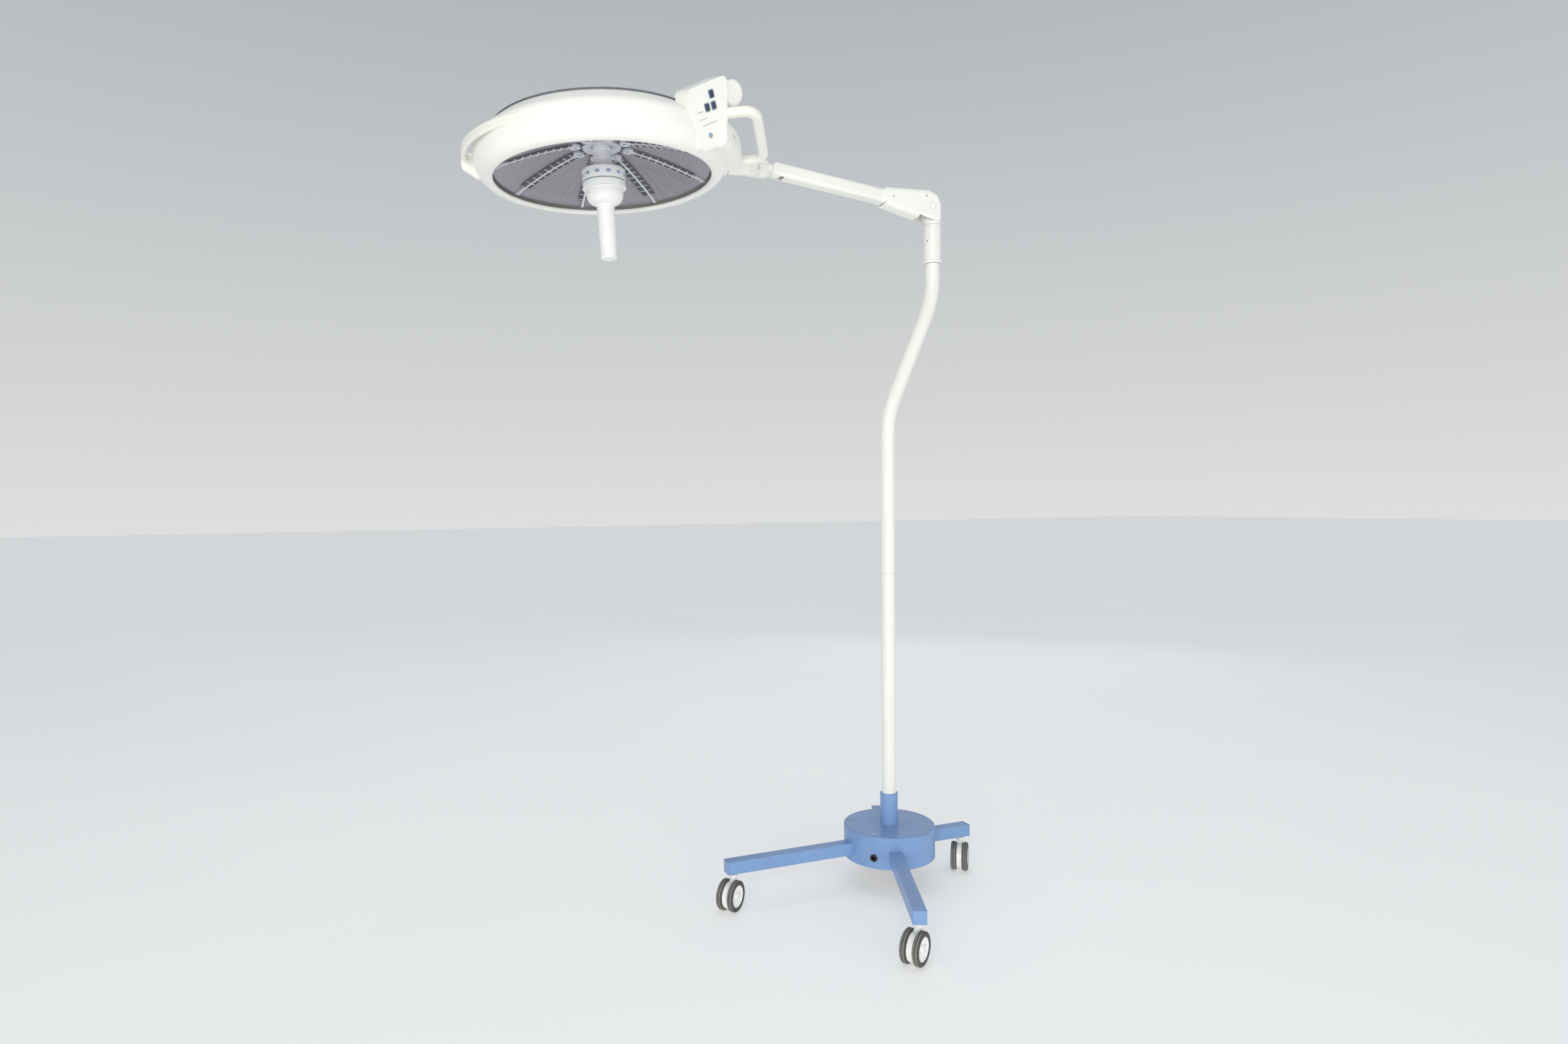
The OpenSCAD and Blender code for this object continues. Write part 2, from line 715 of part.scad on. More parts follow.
// Right handle: a D-shaped loop whose two legs run into the head's side
module grab_handle_right() {
    reach = 350;
    half = 92;
    bend = 28;
    color("ivory") at_head() difference() {
        rotate([0, 0, -27.5]) translate([0, 0, 61]) rotate([-12, 0, 0]) {
            for (s = [-1, 1]) {
                translate([235, s * half, 0]) rotate([0, 90, 0]) linear_extrude(reach - bend - 235)
                    rounded_rect(19, 22, 8);
                translate([reach - bend, s * (half - bend), 0]) rotate([0, 0, s > 0 ? 0 : -90])
                    rotate_extrude(angle = 90) translate([bend, 0]) rounded_rect(22, 19, 8);
            }
            translate([reach, half - bend, 0]) rotate([90, 0, 0]) linear_extrude(2 * (half - bend))
                rounded_rect(22, 19, 8);
        }
        head_envelope();
        pod();
        panel_body(0);
    }
}

// Bulged housing on the head's side that carries the right handle
module pod() {
    rotate([0, 0, -47]) rotate_extrude(angle = 31) polygon(concat([[262, 12]],
        arc(288, 30, 18, 18, -90, 0, 6), arc(286, 52, 20, 20, 0, 90, 6), [[262, 72]]));
}

module panel_outline(inset) {
    hull() {
        translate([-40 + 12, 52 - 12]) circle(12 - inset, $fn = 32);
        translate([70 - 12, 54 - 12]) circle(12 - inset, $fn = 32);
        translate([36 - 10, -66 + 10]) circle(10 - inset, $fn = 32);
        translate([-39 + 10, -66 + 10]) circle(10 - inset, $fn = 32);
    }
}

module panel_body(inset) {
    translate(panel_pos) rotate([0, 0, panel_az]) rotate([panel_tilt, 0, 0]) rotate([0, -panel_turn, 0])
        rotate([90, 0, 0]) translate([0, 0, -panel_depth + inset])
            linear_extrude(panel_depth - 2 * inset) panel_outline(inset);
}

button_spots = [[20, 30], [19, 8.5], [1, 9]];

module control_box() {
    color("ivory") difference() {
        at_head() union() {
            pod();
            panel_body(0);
        }
        at_head() panel_body(3);
        at_head() head_envelope();
        at_panel() for (p = button_spots)
            translate([p[0] - button_size[0] / 2 - gap, -1, p[1] - button_size[1] / 2 - gap])
                cube([button_size[0] + 2 * gap, 6, button_size[1] + 2 * gap]);
    }
    color("ivory") difference() {
        at_panel() translate([91, 8, 15]) rotate([-90, 0, 0]) rotate_extrude() polygon(concat(
            [[0, 34]], [[26, 34], [26, 8]], arc(18, 8, 8, 8, 0, -90, 6), [[0, 0]]));
        at_head() panel_body(0);
        at_head() head_envelope();
        at_head() pod();
    }
}

module button(i) {
    p = button_spots[i];
    color("darkslategray") at_panel() translate([p[0], -1.5, p[1]]) rotate([-90, 0, 0])
        linear_extrude(4.5) rounded_rect(button_size[0], button_size[1], 2);
}

// ---------- nodes ----------

caster_stems();
caster_fork(0);  // caster_fork_1
caster_fork(1);  // caster_fork_2
caster_fork(2);  // caster_fork_3
caster_fork(3);  // caster_fork_4
caster_axle(0);  // caster_axle_1
caster_axle(1);  // caster_axle_2
caster_axle(2);  // caster_axle_3
caster_axle(3);  // caster_axle_4
wheel_hub(0, -1);  // wheel_hub_1a
wheel_hub(0, 1);  // wheel_hub_1b
wheel_hub(1, -1);  // wheel_hub_2a
wheel_hub(1, 1);  // wheel_hub_2b
wheel_hub(2, -1);  // wheel_hub_3a
wheel_hub(2, 1);  // wheel_hub_3b
wheel_hub(3, -1);  // wheel_hub_4a
wheel_hub(3, 1);  // wheel_hub_4b
wheel_tyre(0, -1);  // wheel_tyre_1a
wheel_tyre(0, 1);  // wheel_tyre_1b
wheel_tyre(1, -1);  // wheel_tyre_2a
wheel_tyre(1, 1);  // wheel_tyre_2b
wheel_tyre(2, -1);  // wheel_tyre_3a
wheel_tyre(2, 1);  // wheel_tyre_3b
wheel_tyre(3, -1);  // wheel_tyre_4a
wheel_tyre(3, 1);  // wheel_tyre_4b
drum_shell();
ballast_plate();
transformer();
leg_frame();
leg_end_caps();
column_socket();
cable_gland();
lower_column();
cranked_column();
swivel_sleeve();
fixing_screws();
arm_knuckle();
knuckle_pins();
arm_tube();
corner_cover();
arm_spring();
level_rod();
end_knuckle();
end_pins();
head_yoke();
ring_housing();
back_cover();
front_glass();
reflector();
reflector_ribs();
lamp_tube();
bulb();
lamp_unit();
grab_handle_left();
grab_handle_right();
control_box();
button(0);  // button_power
button(1);  // button_brighter
button(2);  // button_dimmer
sterile_handle();
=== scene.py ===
import json
import math
import random

import bmesh
import bpy
from mathutils import Matrix, Vector


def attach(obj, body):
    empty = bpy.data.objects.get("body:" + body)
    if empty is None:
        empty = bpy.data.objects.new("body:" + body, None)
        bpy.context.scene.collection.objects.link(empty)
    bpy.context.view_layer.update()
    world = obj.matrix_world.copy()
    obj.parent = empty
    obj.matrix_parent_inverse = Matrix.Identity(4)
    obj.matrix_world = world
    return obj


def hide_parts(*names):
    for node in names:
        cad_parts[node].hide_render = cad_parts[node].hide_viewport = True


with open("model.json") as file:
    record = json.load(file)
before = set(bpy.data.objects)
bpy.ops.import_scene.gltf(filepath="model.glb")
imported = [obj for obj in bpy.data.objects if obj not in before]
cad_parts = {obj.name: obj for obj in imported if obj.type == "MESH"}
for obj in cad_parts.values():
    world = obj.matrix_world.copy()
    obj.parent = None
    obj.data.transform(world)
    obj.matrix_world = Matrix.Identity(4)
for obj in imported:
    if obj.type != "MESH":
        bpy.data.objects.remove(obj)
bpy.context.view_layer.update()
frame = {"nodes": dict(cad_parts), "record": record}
NODES = frame["nodes"]
rnd = random.Random(7)
MM = 0.001


def T(x, y, z):
    return Matrix.Translation((x * MM, y * MM, z * MM))


def R(axis, deg):
    return Matrix.Rotation(math.radians(deg), 4, axis)


# Driving dimensions in millimetres and degrees, in the frame of the CAD
HEAD_REACH, HEAD_HEIGHT, HEAD_PITCH = 712, 1680, 3
PIVOT_X, PIVOT_Z = 118, 1704.4
ARM_LENGTH, ARM_RISE = 418.4, 6
YAW_BACK = 36
COLUMN_X = 131.5
SCREW_Z = 1620
LEGS = ((180, 445), (248, 445), (0, 234), (68, 234))
LEG_TOP, LEG_HALF, TIP_CAP = 115, 15, 3.1
LEG_MID = LEG_TOP - LEG_HALF
CASTER_HEADINGS = (41, 34, 52, 20)
CASTER_INSET, CASTER_TRAIL, AXLE_Z, WHEEL_START = 20, 18, 36, 7.5
DRUM_R, DRUM_TOP = 115, 147
INLET_AZIMUTH, INLET_Z = 221, 95
MIRROR_HIGH, MIRROR_DROP, MIRROR_R, MIRROR_POWER = 78, 67, 243, 1.6
COVER_R, COVER_Z, COVER_RISE = 234, 98, 26
SEGMENTS = 8
RIB_STEP = 360 // SEGMENTS

HEAD = T(-HEAD_REACH, 0, HEAD_HEIGHT) @ R("Y", -HEAD_PITCH)
PANEL = HEAD @ T(165, -238, 68) @ R("Z", 22) @ R("X", 13) @ R("Y", -27)
ARM = T(PIVOT_X, 0, PIVOT_Z) @ R("Y", ARM_RISE)
FRONT = T(PIVOT_X - ARM_LENGTH * math.cos(math.radians(ARM_RISE)), 0,
          PIVOT_Z + ARM_LENGTH * math.sin(math.radians(ARM_RISE)))
YAW = FRONT @ T(-YAW_BACK, 0, 0)


# ---------------------------------------------------------------- camera
def look():
    p, r, a = math.radians(-2.63), math.radians(-0.62), math.radians(-21.3)
    sp, cp, sr, cr = math.sin(p), math.cos(p), math.sin(r), math.cos(r)
    right = Vector((cr, -sp * sr, cp * sr))
    up = Vector((-sr, -sp * cr, cp * cr))
    back = -Vector((0, cp, sp))
    turn = Matrix.Rotation(a, 3, "Z")
    cols = [turn @ v for v in (right, up, back)]
    m = Matrix((
        (cols[0].x, cols[1].x, cols[2].x),
        (cols[0].y, cols[1].y, cols[2].y),
        (cols[0].z, cols[1].z, cols[2].z))).to_4x4()
    return Matrix.Translation((-1.1924, -2.0529, 0.9652)) @ m


cam = bpy.data.objects.new("camera", bpy.data.cameras.new("camera"))
bpy.context.scene.collection.objects.link(cam)
cam.matrix_world = look()
cam.data.lens = 21.39
cam.data.sensor_width = 36
cam.data.shift_x = 0.02604
cam.data.shift_y = 0.01556
cam.data.clip_start = 0.05
bpy.context.scene.camera = cam
bpy.context.scene.view_settings.view_transform = "Standard"


# ---------------------------------------------------------------- materials
class Nodes:
    def __init__(self, name):
        self.mat = bpy.data.materials.new(name)
        self.mat.use_nodes = True
        self.t = self.mat.node_tree
        self.bsdf = self.t.nodes["Principled BSDF"]

    def put(self, socket, v):
        if hasattr(v, "is_output") or isinstance(v, bpy.types.NodeSocket):
            self.t.links.new(v, socket)
        else:
            socket.default_value = v

    def math(self, op, a, b=0.0, c=None):
        n = self.t.nodes.new("ShaderNodeMath")
        n.operation = op
        self.put(n.inputs[0], a)
        self.put(n.inputs[1], b)
        if c is not None:
            self.put(n.inputs[2], c)
        return n.outputs[0]

    def coord(self, scale=(1, 1, 1), frame_of=None):
        tc = self.t.nodes.new("ShaderNodeTexCoord")
        mp = self.t.nodes.new("ShaderNodeMapping")
        self.t.links.new(tc.outputs["Object"], mp.inputs["Vector"])
        if frame_of is not None:
            mp.vector_type = "TEXTURE"
            mp.inputs["Location"].default_value = frame_of.to_translation()
            mp.inputs["Rotation"].default_value = frame_of.to_euler()
        else:
            mp.inputs["Scale"].default_value = scale
        return mp.outputs["Vector"]

    def noise(self, scale, detail=3.0, rough=0.55, vec=None):
        n = self.t.nodes.new("ShaderNodeTexNoise")
        self.t.links.new(vec if vec is not None else self.coord(), n.inputs["Vector"])
        n.inputs["Scale"].default_value = scale
        n.inputs["Detail"].default_value = detail
        n.inputs["Roughness"].default_value = rough
        return n.outputs["Fac"]

    def span(self, v, a, b, lo, hi):
        n = self.t.nodes.new("ShaderNodeMapRange")
        self.put(n.inputs["Value"], v)
        for k, x in (("From Min", a), ("From Max", b), ("To Min", lo), ("To Max", hi)):
            n.inputs[k].default_value = x
        return n.outputs["Result"]

    def mix(self, fac, a, b):
        n = self.t.nodes.new("ShaderNodeMix")
        n.data_type = "RGBA"
        self.put(n.inputs["Factor"], fac)
        self.put(n.inputs[6], a)
        self.put(n.inputs[7], b)
        return n.outputs[2]

    def bump(self, height, strength, distance, after=None):
        n = self.t.nodes.new("ShaderNodeBump")
        self.put(n.inputs["Height"], height)
        n.inputs["Strength"].default_value = strength
        n.inputs["Distance"].default_value = distance
        if after is not None:
            self.t.links.new(after, n.inputs["Normal"])
        return n.outputs["Normal"]


def rgba(c, k=1.0):
    return (min(c[0] * k, 1), min(c[1] * k, 1), min(c[2] * k, 1), 1)


def surface(name, color, rough, metal=0.0, coat=0.0, var=0.05, var_scale=7.0, grain=0.18,
    grain_scale=1400.0,
            grain_depth=0.00008, rough_var=0.08, marks=None, dirt=None, stretch=(1, 1, 1), ior=1.5):
    n = Nodes(name)
    cloud = n.noise(var_scale, 4.0)
    tone = n.mix(n.span(cloud, 0.3, 0.7, 0, 1), rgba(color, 1 - var), rgba(color, 1 + var))
    if dirt:
        patch = n.noise(dirt[1], 6.0, 0.7)
        tone = n.mix(n.span(patch, 0.56, 0.78, 0, dirt[2]), tone, rgba(dirt[0]))
    if marks:
        fine = n.noise(marks[1], 2.0, 0.8, n.coord((1, 1, 5)))
        tone = n.mix(n.span(fine, 0.70, 0.74, 0, marks[2]), tone, rgba(marks[0]))
    n.put(n.bsdf.inputs["Base Color"], tone)
    grit = n.noise(grain_scale, 2.0, 0.5, n.coord(stretch))
    n.put(n.bsdf.inputs["Normal"], n.bump(grit, grain, grain_depth))
    smudge = n.noise(23.0, 5.0, 0.65)
    n.put(n.bsdf.inputs["Roughness"], n.span(smudge, 0.3, 0.7, max(rough - rough_var, 0.03),
        min(rough + rough_var, 1)))
    n.bsdf.inputs["Metallic"].default_value = metal
    n.bsdf.inputs["IOR"].default_value = ior
    if coat:
        n.bsdf.inputs["Coat Weight"].default_value = coat
        n.bsdf.inputs["Coat Roughness"].default_value = 0.12
    return n.mat


def glass(name, color, rough, alpha, trans=0.0, streak=0.03):
    n = Nodes(name)
    cloud = n.noise(9.0, 3.0)
    n.put(n.bsdf.inputs["Base Color"], n.mix(cloud, rgba(color, 0.95), rgba(color, 1.05)))
    n.put(n.bsdf.inputs["Roughness"], n.span(n.noise(30.0, 4.0), 0.3, 0.7, rough, rough + streak))
    n.put(n.bsdf.inputs["Alpha"], n.span(n.noise(14.0, 3.0), 0.3, 0.7, alpha * 0.92,
        min(alpha * 1.08, 1)))
    n.bsdf.inputs["Transmission Weight"].default_value = trans
    return n.mat


WHITE = (0.86, 0.86, 0.80)
M = {}
M["warm_white_paint"] = surface("warm_white_paint", WHITE, 0.34, coat=0.25, var=0.025, grain=0.25,
    grain_scale=900, dirt=((0.74, 0.71, 0.58), 5.0, 0.35), marks=((0.66, 0.63, 0.52), 240.0, 0.25))
M["blue_paint"] = surface("blue_paint", (0.205, 0.345, 0.615), 0.42, coat=0.12, var=0.07, var_scale=11,
    grain=0.35, grain_scale=700, dirt=((0.14, 0.22, 0.42), 8.0, 0.35),
    marks=((0.42, 0.50, 0.66), 160.0, 0.35))
M["warm_white_plastic"] = surface("warm_white_plastic", (0.88, 0.88, 0.825), 0.40, var=0.02, grain=0.2,
                                  grain_scale=2200, dirt=((0.80, 0.78, 0.66), 6.0, 0.3), rough_var=0.06)
M["handle_plastic"] = surface("handle_plastic", (0.86, 0.855, 0.78), 0.36, var=0.03, grain=0.2,
    grain_scale=1800, dirt=((0.62, 0.55, 0.40), 12.0, 0.35))
M["cover_grey"] = surface("cover_grey", (0.36, 0.37, 0.40), 0.5, var=0.06, grain=0.5, grain_scale=2600)
M["caster_white"] = surface("caster_white", (0.89, 0.89, 0.86), 0.3, coat=0.3, var=0.03, grain=0.1,
    grain_scale=1500, dirt=((0.45, 0.44, 0.40), 30.0, 0.3))
M["tyre_grey"] = surface("tyre_grey", (0.075, 0.073, 0.068), 0.7, var=0.18, var_scale=40, grain=0.6,
                         grain_scale=1600, dirt=((0.22, 0.21, 0.19), 26.0, 0.6))
M["tyre_tread"] = surface("tyre_tread", (0.27, 0.26, 0.235), 0.78, var=0.12, var_scale=40, grain=0.6,
                          grain_scale=1500, dirt=((0.36, 0.35, 0.32), 30.0, 0.6))
M["steel"] = surface("steel", (0.60, 0.61, 0.62), 0.30, metal=1.0, var=0.06, grain=0.3, grain_scale=600,
                     stretch=(1, 1, 8))
M["spring_steel"] = surface("spring_steel", (0.30, 0.31, 0.33), 0.35, metal=1.0, var=0.1, grain=0.3,
    grain_scale=900)
M["cast_iron"] = surface("cast_iron", (0.13, 0.135, 0.15), 0.72, metal=0.3, var=0.15, var_scale=30,
    grain=0.9, grain_scale=420, grain_depth=0.0004)
M["transformer_wrap"] = surface("transformer_wrap", (0.45, 0.30, 0.10), 0.5, var=0.15, var_scale=50,
    grain=0.6, grain_scale=300, stretch=(1, 1, 14))
M["black_plastic"] = surface("black_plastic", (0.012, 0.012, 0.013), 0.45, var=0.2, grain=0.4,
    grain_scale=1500)
# painted shade: near-black colour laid at the bottom of slots, gaps and bores, where there is only shadow
M["painted_recess_shade"] = surface("painted_recess_shade", (0.035, 0.034, 0.042), 0.6, var=0.3, var_scale=60, grain=0.3)
M["rib_grey"] = surface("rib_grey", (0.74, 0.74, 0.83), 0.42, metal=0.35, var=0.06, var_scale=40,
    grain=0.3, grain_scale=900)
M["hub_white"] = surface("hub_white", (0.90, 0.905, 0.90), 0.3, coat=0.3, var=0.03, grain=0.12,
    grain_scale=1600)
M["grip_white"] = surface("grip_white", (0.86, 0.865, 0.85), 0.42, var=0.02, grain=0.25, grain_scale=1900,
                          dirt=((0.74, 0.73, 0.66), 9.0, 0.25))
M["button_dark"] = surface("button_dark", (0.035, 0.05, 0.10), 0.5, var=0.2, grain=0.3)
M["mark_grey"] = surface("mark_grey", (0.30, 0.33, 0.38), 0.5, var=0.15, var_scale=60)
M["window_blue"] = surface("window_blue", (0.30, 0.42, 0.60), 0.15, coat=0.6, var=0.2, var_scale=50,
    grain=0.05)
# painted shade: brown tone that stands in for the shadow in seams and gaps
M["painted_brown_shade"] = surface("painted_brown_shade", (0.42, 0.35, 0.27), 0.55, var=0.15, var_scale=30)
M["gasket"] = surface("gasket", (0.13, 0.13, 0.15), 0.6, var=0.2, var_scale=50, grain=0.4)
M["clear_glass"] = glass("clear_glass", (0.92, 0.95, 0.97), 0.04, 0.03)
M["frosted_glass"] = glass("frosted_glass", (0.93, 0.94, 0.96), 0.35, 0.85)
M["bulb_glass"] = glass("bulb_glass", (0.98, 0.95, 0.86), 0.2, 0.85)


def mirror_material():
    n = Nodes("mirror_grey")
    v = n.coord(frame_of=HEAD)
    sep = n.t.nodes.new("ShaderNodeSeparateXYZ")
    n.t.links.new(v, sep.inputs[0])
    x, y = sep.outputs[0], sep.outputs[1]
    ang = n.math("ARCTAN2", y, x)
    rad = n.math("POWER", n.math("ADD", n.math("MULTIPLY", x, x), n.math("MULTIPLY", y, y)), 0.5)
    sector = n.math("FLOOR", n.math("MULTIPLY", n.math("ADD", ang, math.pi), SEGMENTS / (2 * math.pi)))
    within = n.math("FRACT", n.math("MULTIPLY", n.math("ADD", ang, math.pi), SEGMENTS / (2 * math.pi)))
    wn = n.t.nodes.new("ShaderNodeTexWhiteNoise")
    wn.noise_dimensions = "1D"
    n.put(wn.inputs["W"], n.math("MULTIPLY", sector, 3.17))
    comb = n.t.nodes.new("ShaderNodeCombineXYZ")
    n.put(comb.inputs[0], n.math("MULTIPLY", ang, 9.0))
    n.put(comb.inputs[1], n.math("MULTIPLY", rad, 6.0))
    streak = n.noise(3.0, 5.0, 0.6, comb.outputs[0])
    base = n.mix(n.span(streak, 0.3, 0.7, 0, 1), (0.19, 0.17, 0.205, 1), (0.33, 0.31, 0.35, 1))
    base = n.mix(n.math("MULTIPLY", wn.outputs["Value"], 0.35), base, (0.42, 0.40, 0.43, 1))
    # painted shade: darker along the sector edges, where the facets meet the ribs
    crease_shade = n.span(n.math("ABSOLUTE", n.math("SUBTRACT", within, 0.5)), 0.42, 0.5, 0.0, 0.55)
    base = n.mix(crease_shade, base, (0.07, 0.065, 0.085, 1))
    rim = n.span(rad, 0.20, 0.242, 0.0, 0.45)
    base = n.mix(rim, base, (0.42, 0.41, 0.46, 1))
    n.put(n.bsdf.inputs["Base Color"], base)
    n.bsdf.inputs["Metallic"].default_value = 0.45
    n.put(n.bsdf.inputs["Roughness"], n.span(streak, 0.3, 0.7, 0.38, 0.55))
    n.put(n.bsdf.inputs["Normal"], n.bump(n.noise(300.0, 3.0, 0.5), 0.25, 0.0003))
    return n.mat


M["mirror_grey"] = mirror_material()

SLOT_OF = {s["node"]: s["material_slot"] for s in frame["record"]["subparts"]}


# ---------------------------------------------------------------- piece building
def finish_mesh(name, bm, mat, body, slot, sharp=38, at=None, replaces=()):
    if at is not None:
        bm.transform(at)
    bmesh.ops.recalc_face_normals(bm, faces=bm.faces)
    lim = math.radians(sharp)
    for f in bm.faces:
        f.smooth = True
    for e in bm.edges:
        e.smooth = len(e.link_faces) == 2 and e.calc_face_angle(0) < lim
    me = bpy.data.meshes.new(name)
    bm.to_mesh(me)
    bm.free()
    me.materials.append(M[mat])
    ob = bpy.data.objects.new(name, me)
    bpy.context.scene.collection.objects.link(ob)
    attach(ob, body)
    if replaces:
        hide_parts(*replaces)
    return ob


def lathe_into(bm, profile, seg, closed=False, a0=0.0, a1=360.0, at=Matrix.Identity(4)):
    full = abs(a1 - a0 - 360) < 1e-6
    count = seg if full else seg + 1
    rings = []
    for r, z in profile:
        if r < 1e-6:
            rings.append([bm.verts.new(at @ Vector((0, 0, z * MM)))])
            continue
        ring = []
        for i in range(count):
            a = math.radians(a0 + (a1 - a0) * i / seg)
            ring.append(bm.verts.new(at @ Vector((r * MM * math.cos(a), r * MM * math.sin(a), z * MM))))
        rings.append(ring)
    pairs = list(zip(rings, rings[1:]))
    if closed:
        pairs.append((rings[-1], rings[0]))
    for p, q in pairs:
        for i in range(seg):
            j = (i + 1) % count
            if len(p) == 1 and len(q) == 1:
                continue
            if len(p) == 1:
                bm.faces.new((p[0], q[i], q[j]))
            elif len(q) == 1:
                bm.faces.new((p[i], p[j], q[0]))
            else:
                bm.faces.new((p[i], p[j], q[j], q[i]))
    if not full and closed:
        bm.faces.new([r[0] for r in rings])
        bm.faces.new([r[-1] for r in reversed(rings)])


def arc(cx, cz, r, a0, a1, n, rz=None):
    rz = r if rz is None else rz
    out = []
    for i in range(n + 1):
        a = math.radians(a0 + (a1 - a0) * i / n)
        out.append((cx + r * math.cos(a), cz + rz * math.sin(a)))
    return out


def lathe(name, profile, mat, body, slot, at=Matrix.Identity(4), seg=96, closed=False, a0=0.0, a1=360.0,
        **kw):
    bm = bmesh.new()
    lathe_into(bm, profile, seg, closed, a0, a1)
    return finish_mesh(name, bm, mat, body, slot, at=at, **kw)


def rod_into(bm, pts, radius, sides=12, closed=False, squash=(1, 1), up=None):
    pts = [Vector(p) for p in pts]
    n = len(pts)
    rings = []
    normal = None
    for i, p in enumerate(pts):
        if closed:
            d = (pts[(i + 1) % n] - pts[i - 1]).normalized()
        else:
            d = (pts[min(i + 1, n - 1)] - pts[max(i - 1, 0)]).normalized()
        if up is not None:
            normal = (Vector(up) - d * d.dot(Vector(up))).normalized()
        elif normal is None:
            ref = Vector((0, 0, 1)) if abs(d.z) < 0.9 else Vector((1, 0, 0))
            normal = (ref - d * d.dot(ref)).normalized()
        else:
            normal = (normal - d * d.dot(normal)).normalized()
        b = d.cross(normal)
        rr = radius[i] if isinstance(radius, (list, tuple)) else radius
        rings.append([bm.verts.new(p + rr * (squash[0] * math.cos(t) * normal
            + squash[1] * math.sin(t) * b)) for t in [2 * math.pi * k / sides for k in range(sides)]])
    last = n if closed else n - 1
    for i in range(last):
        p, q = rings[i], rings[(i + 1) % n]
        for k in range(sides):
            bm.faces.new((p[k], p[(k + 1) % sides], q[(k + 1) % sides], q[k]))
    if not closed:
        bm.faces.new(list(reversed(rings[0])))
        bm.faces.new(rings[-1])


def outline(w, h, r, n=6):
    pts = []
    for cx, cy, a in ((w / 2 - r, h / 2 - r, 0), (-w / 2 + r, h / 2 - r, 90),
        (-w / 2 + r, -h / 2 + r, 180),
                      (w / 2 - r, -h / 2 + r, 270)):
        for i in range(n + 1):
            t = math.radians(a + 90 * i / n)
            pts.append((cx + r * math.cos(t), cy + r * math.sin(t)))
    return pts


def inset(pts, d):
    out = []
    n = len(pts)
    for i in range(n):
        a, b, c = Vector(pts[i - 1]), Vector(pts[i]), Vector(pts[(i + 1) % n])
        e1, e2 = (b - a), (c - b)
        n1 = Vector((-e1.y, e1.x)).normalized() if e1.length > 1e-9 else Vector((0, 0))
        n2 = Vector((-e2.y, e2.x)).normalized() if e2.length > 1e-9 else Vector((0, 0))
        m = (n1 + n2)
        m = m.normalized() if m.length > 1e-9 else n1
        k = max(m.dot(n1), 0.5)
        out.append(tuple(b + m * d / k))
    return out


def plate_into(bm, pts, z0, z1, edge=0.8, steps=3, at=Matrix.Identity(4)):
    """A plate with rounded top and bottom edges from an outline that runs anticlockwise."""
    layers = []
    for i in range(steps + 1):
        a = math.radians(90 * i / steps)
        layers.append((inset(pts, edge * (1 - math.sin(a))), z0 + edge * (1 - math.cos(a))))
    for i in range(steps + 1):
        a = math.radians(90 * i / steps)
        layers.append((inset(pts, edge * (1 - math.cos(a))), z1 - edge * (1 - math.sin(a))))
    rings = [[bm.verts.new(at @ Vector((x * MM, y * MM, z * MM))) for x, y in ps] for ps, z in layers]
    n = len(pts)
    for p, q in zip(rings, rings[1:]):
        for k in range(n):
            bm.faces.new((p[k], p[(k + 1) % n], q[(k + 1) % n], q[k]))
    bm.faces.new(list(reversed(rings[0])))
    bm.faces.new(rings[-1])


def plate(name, pts, z0, z1, mat, body, slot, edge=0.8, at=Matrix.Identity(4), **kw):
    bm = bmesh.new()
    plate_into(bm, pts, z0, z1, edge)
    return finish_mesh(name, bm, mat, body, slot, at=at, **kw)


def screw_into(bm, at, r):
    """Pan head with a round recess; local +Z is outward."""
    lathe_into(bm, [(0, -0.6 * r), (r, -0.6 * r), (r, 0.1 * r)] + arc(r * 0.55, 0.1 * r, r * 0.45, 0,
        90, 5) + [(r * 0.34, 0.55 * r), (r * 0.30, 0.15 * r), (0, 0.1 * r)], 20, at=at)


def screws(name, places, r, mat, body, slot):
    bm = bmesh.new()
    for at in places:
        screw_into(bm, at, r)
    return finish_mesh(name, bm, mat, body, slot)


def facing(pos, normal):
    """A frame at pos, in metres, with local +Z along normal."""
    n = Vector(normal).normalized()
    return Matrix.Translation(pos) @ n.to_track_quat("Z", "Y").to_matrix().to_4x4()


def softened(node, width, segments=2, angle=32):
    """Rounds a CAD node's sharp edges with modifiers only."""
    ob = NODES[node]
    w = ob.modifiers.new("weld", "WELD")
    w.merge_threshold = 0.00002
    b = ob.modifiers.new("edges", "BEVEL")
    b.width = width * MM
    b.segments = segments
    b.limit_method = "ANGLE"
    b.angle_limit = math.radians(angle)
    b.harden_normals = True
    b.use_clamp_overlap = True


# ---------------------------------------------------------------- CAD nodes: materials
for name, ob in NODES.items():
    key = SLOT_OF[name]
    if name == "lamp_tube":
        key = "frosted_glass"
    ob.data.materials.clear()
    ob.data.materials.append(M[key])

for name in ("leg_end_caps", "end_knuckle", "arm_knuckle", "head_yoke"):
    softened(name, 0.8)


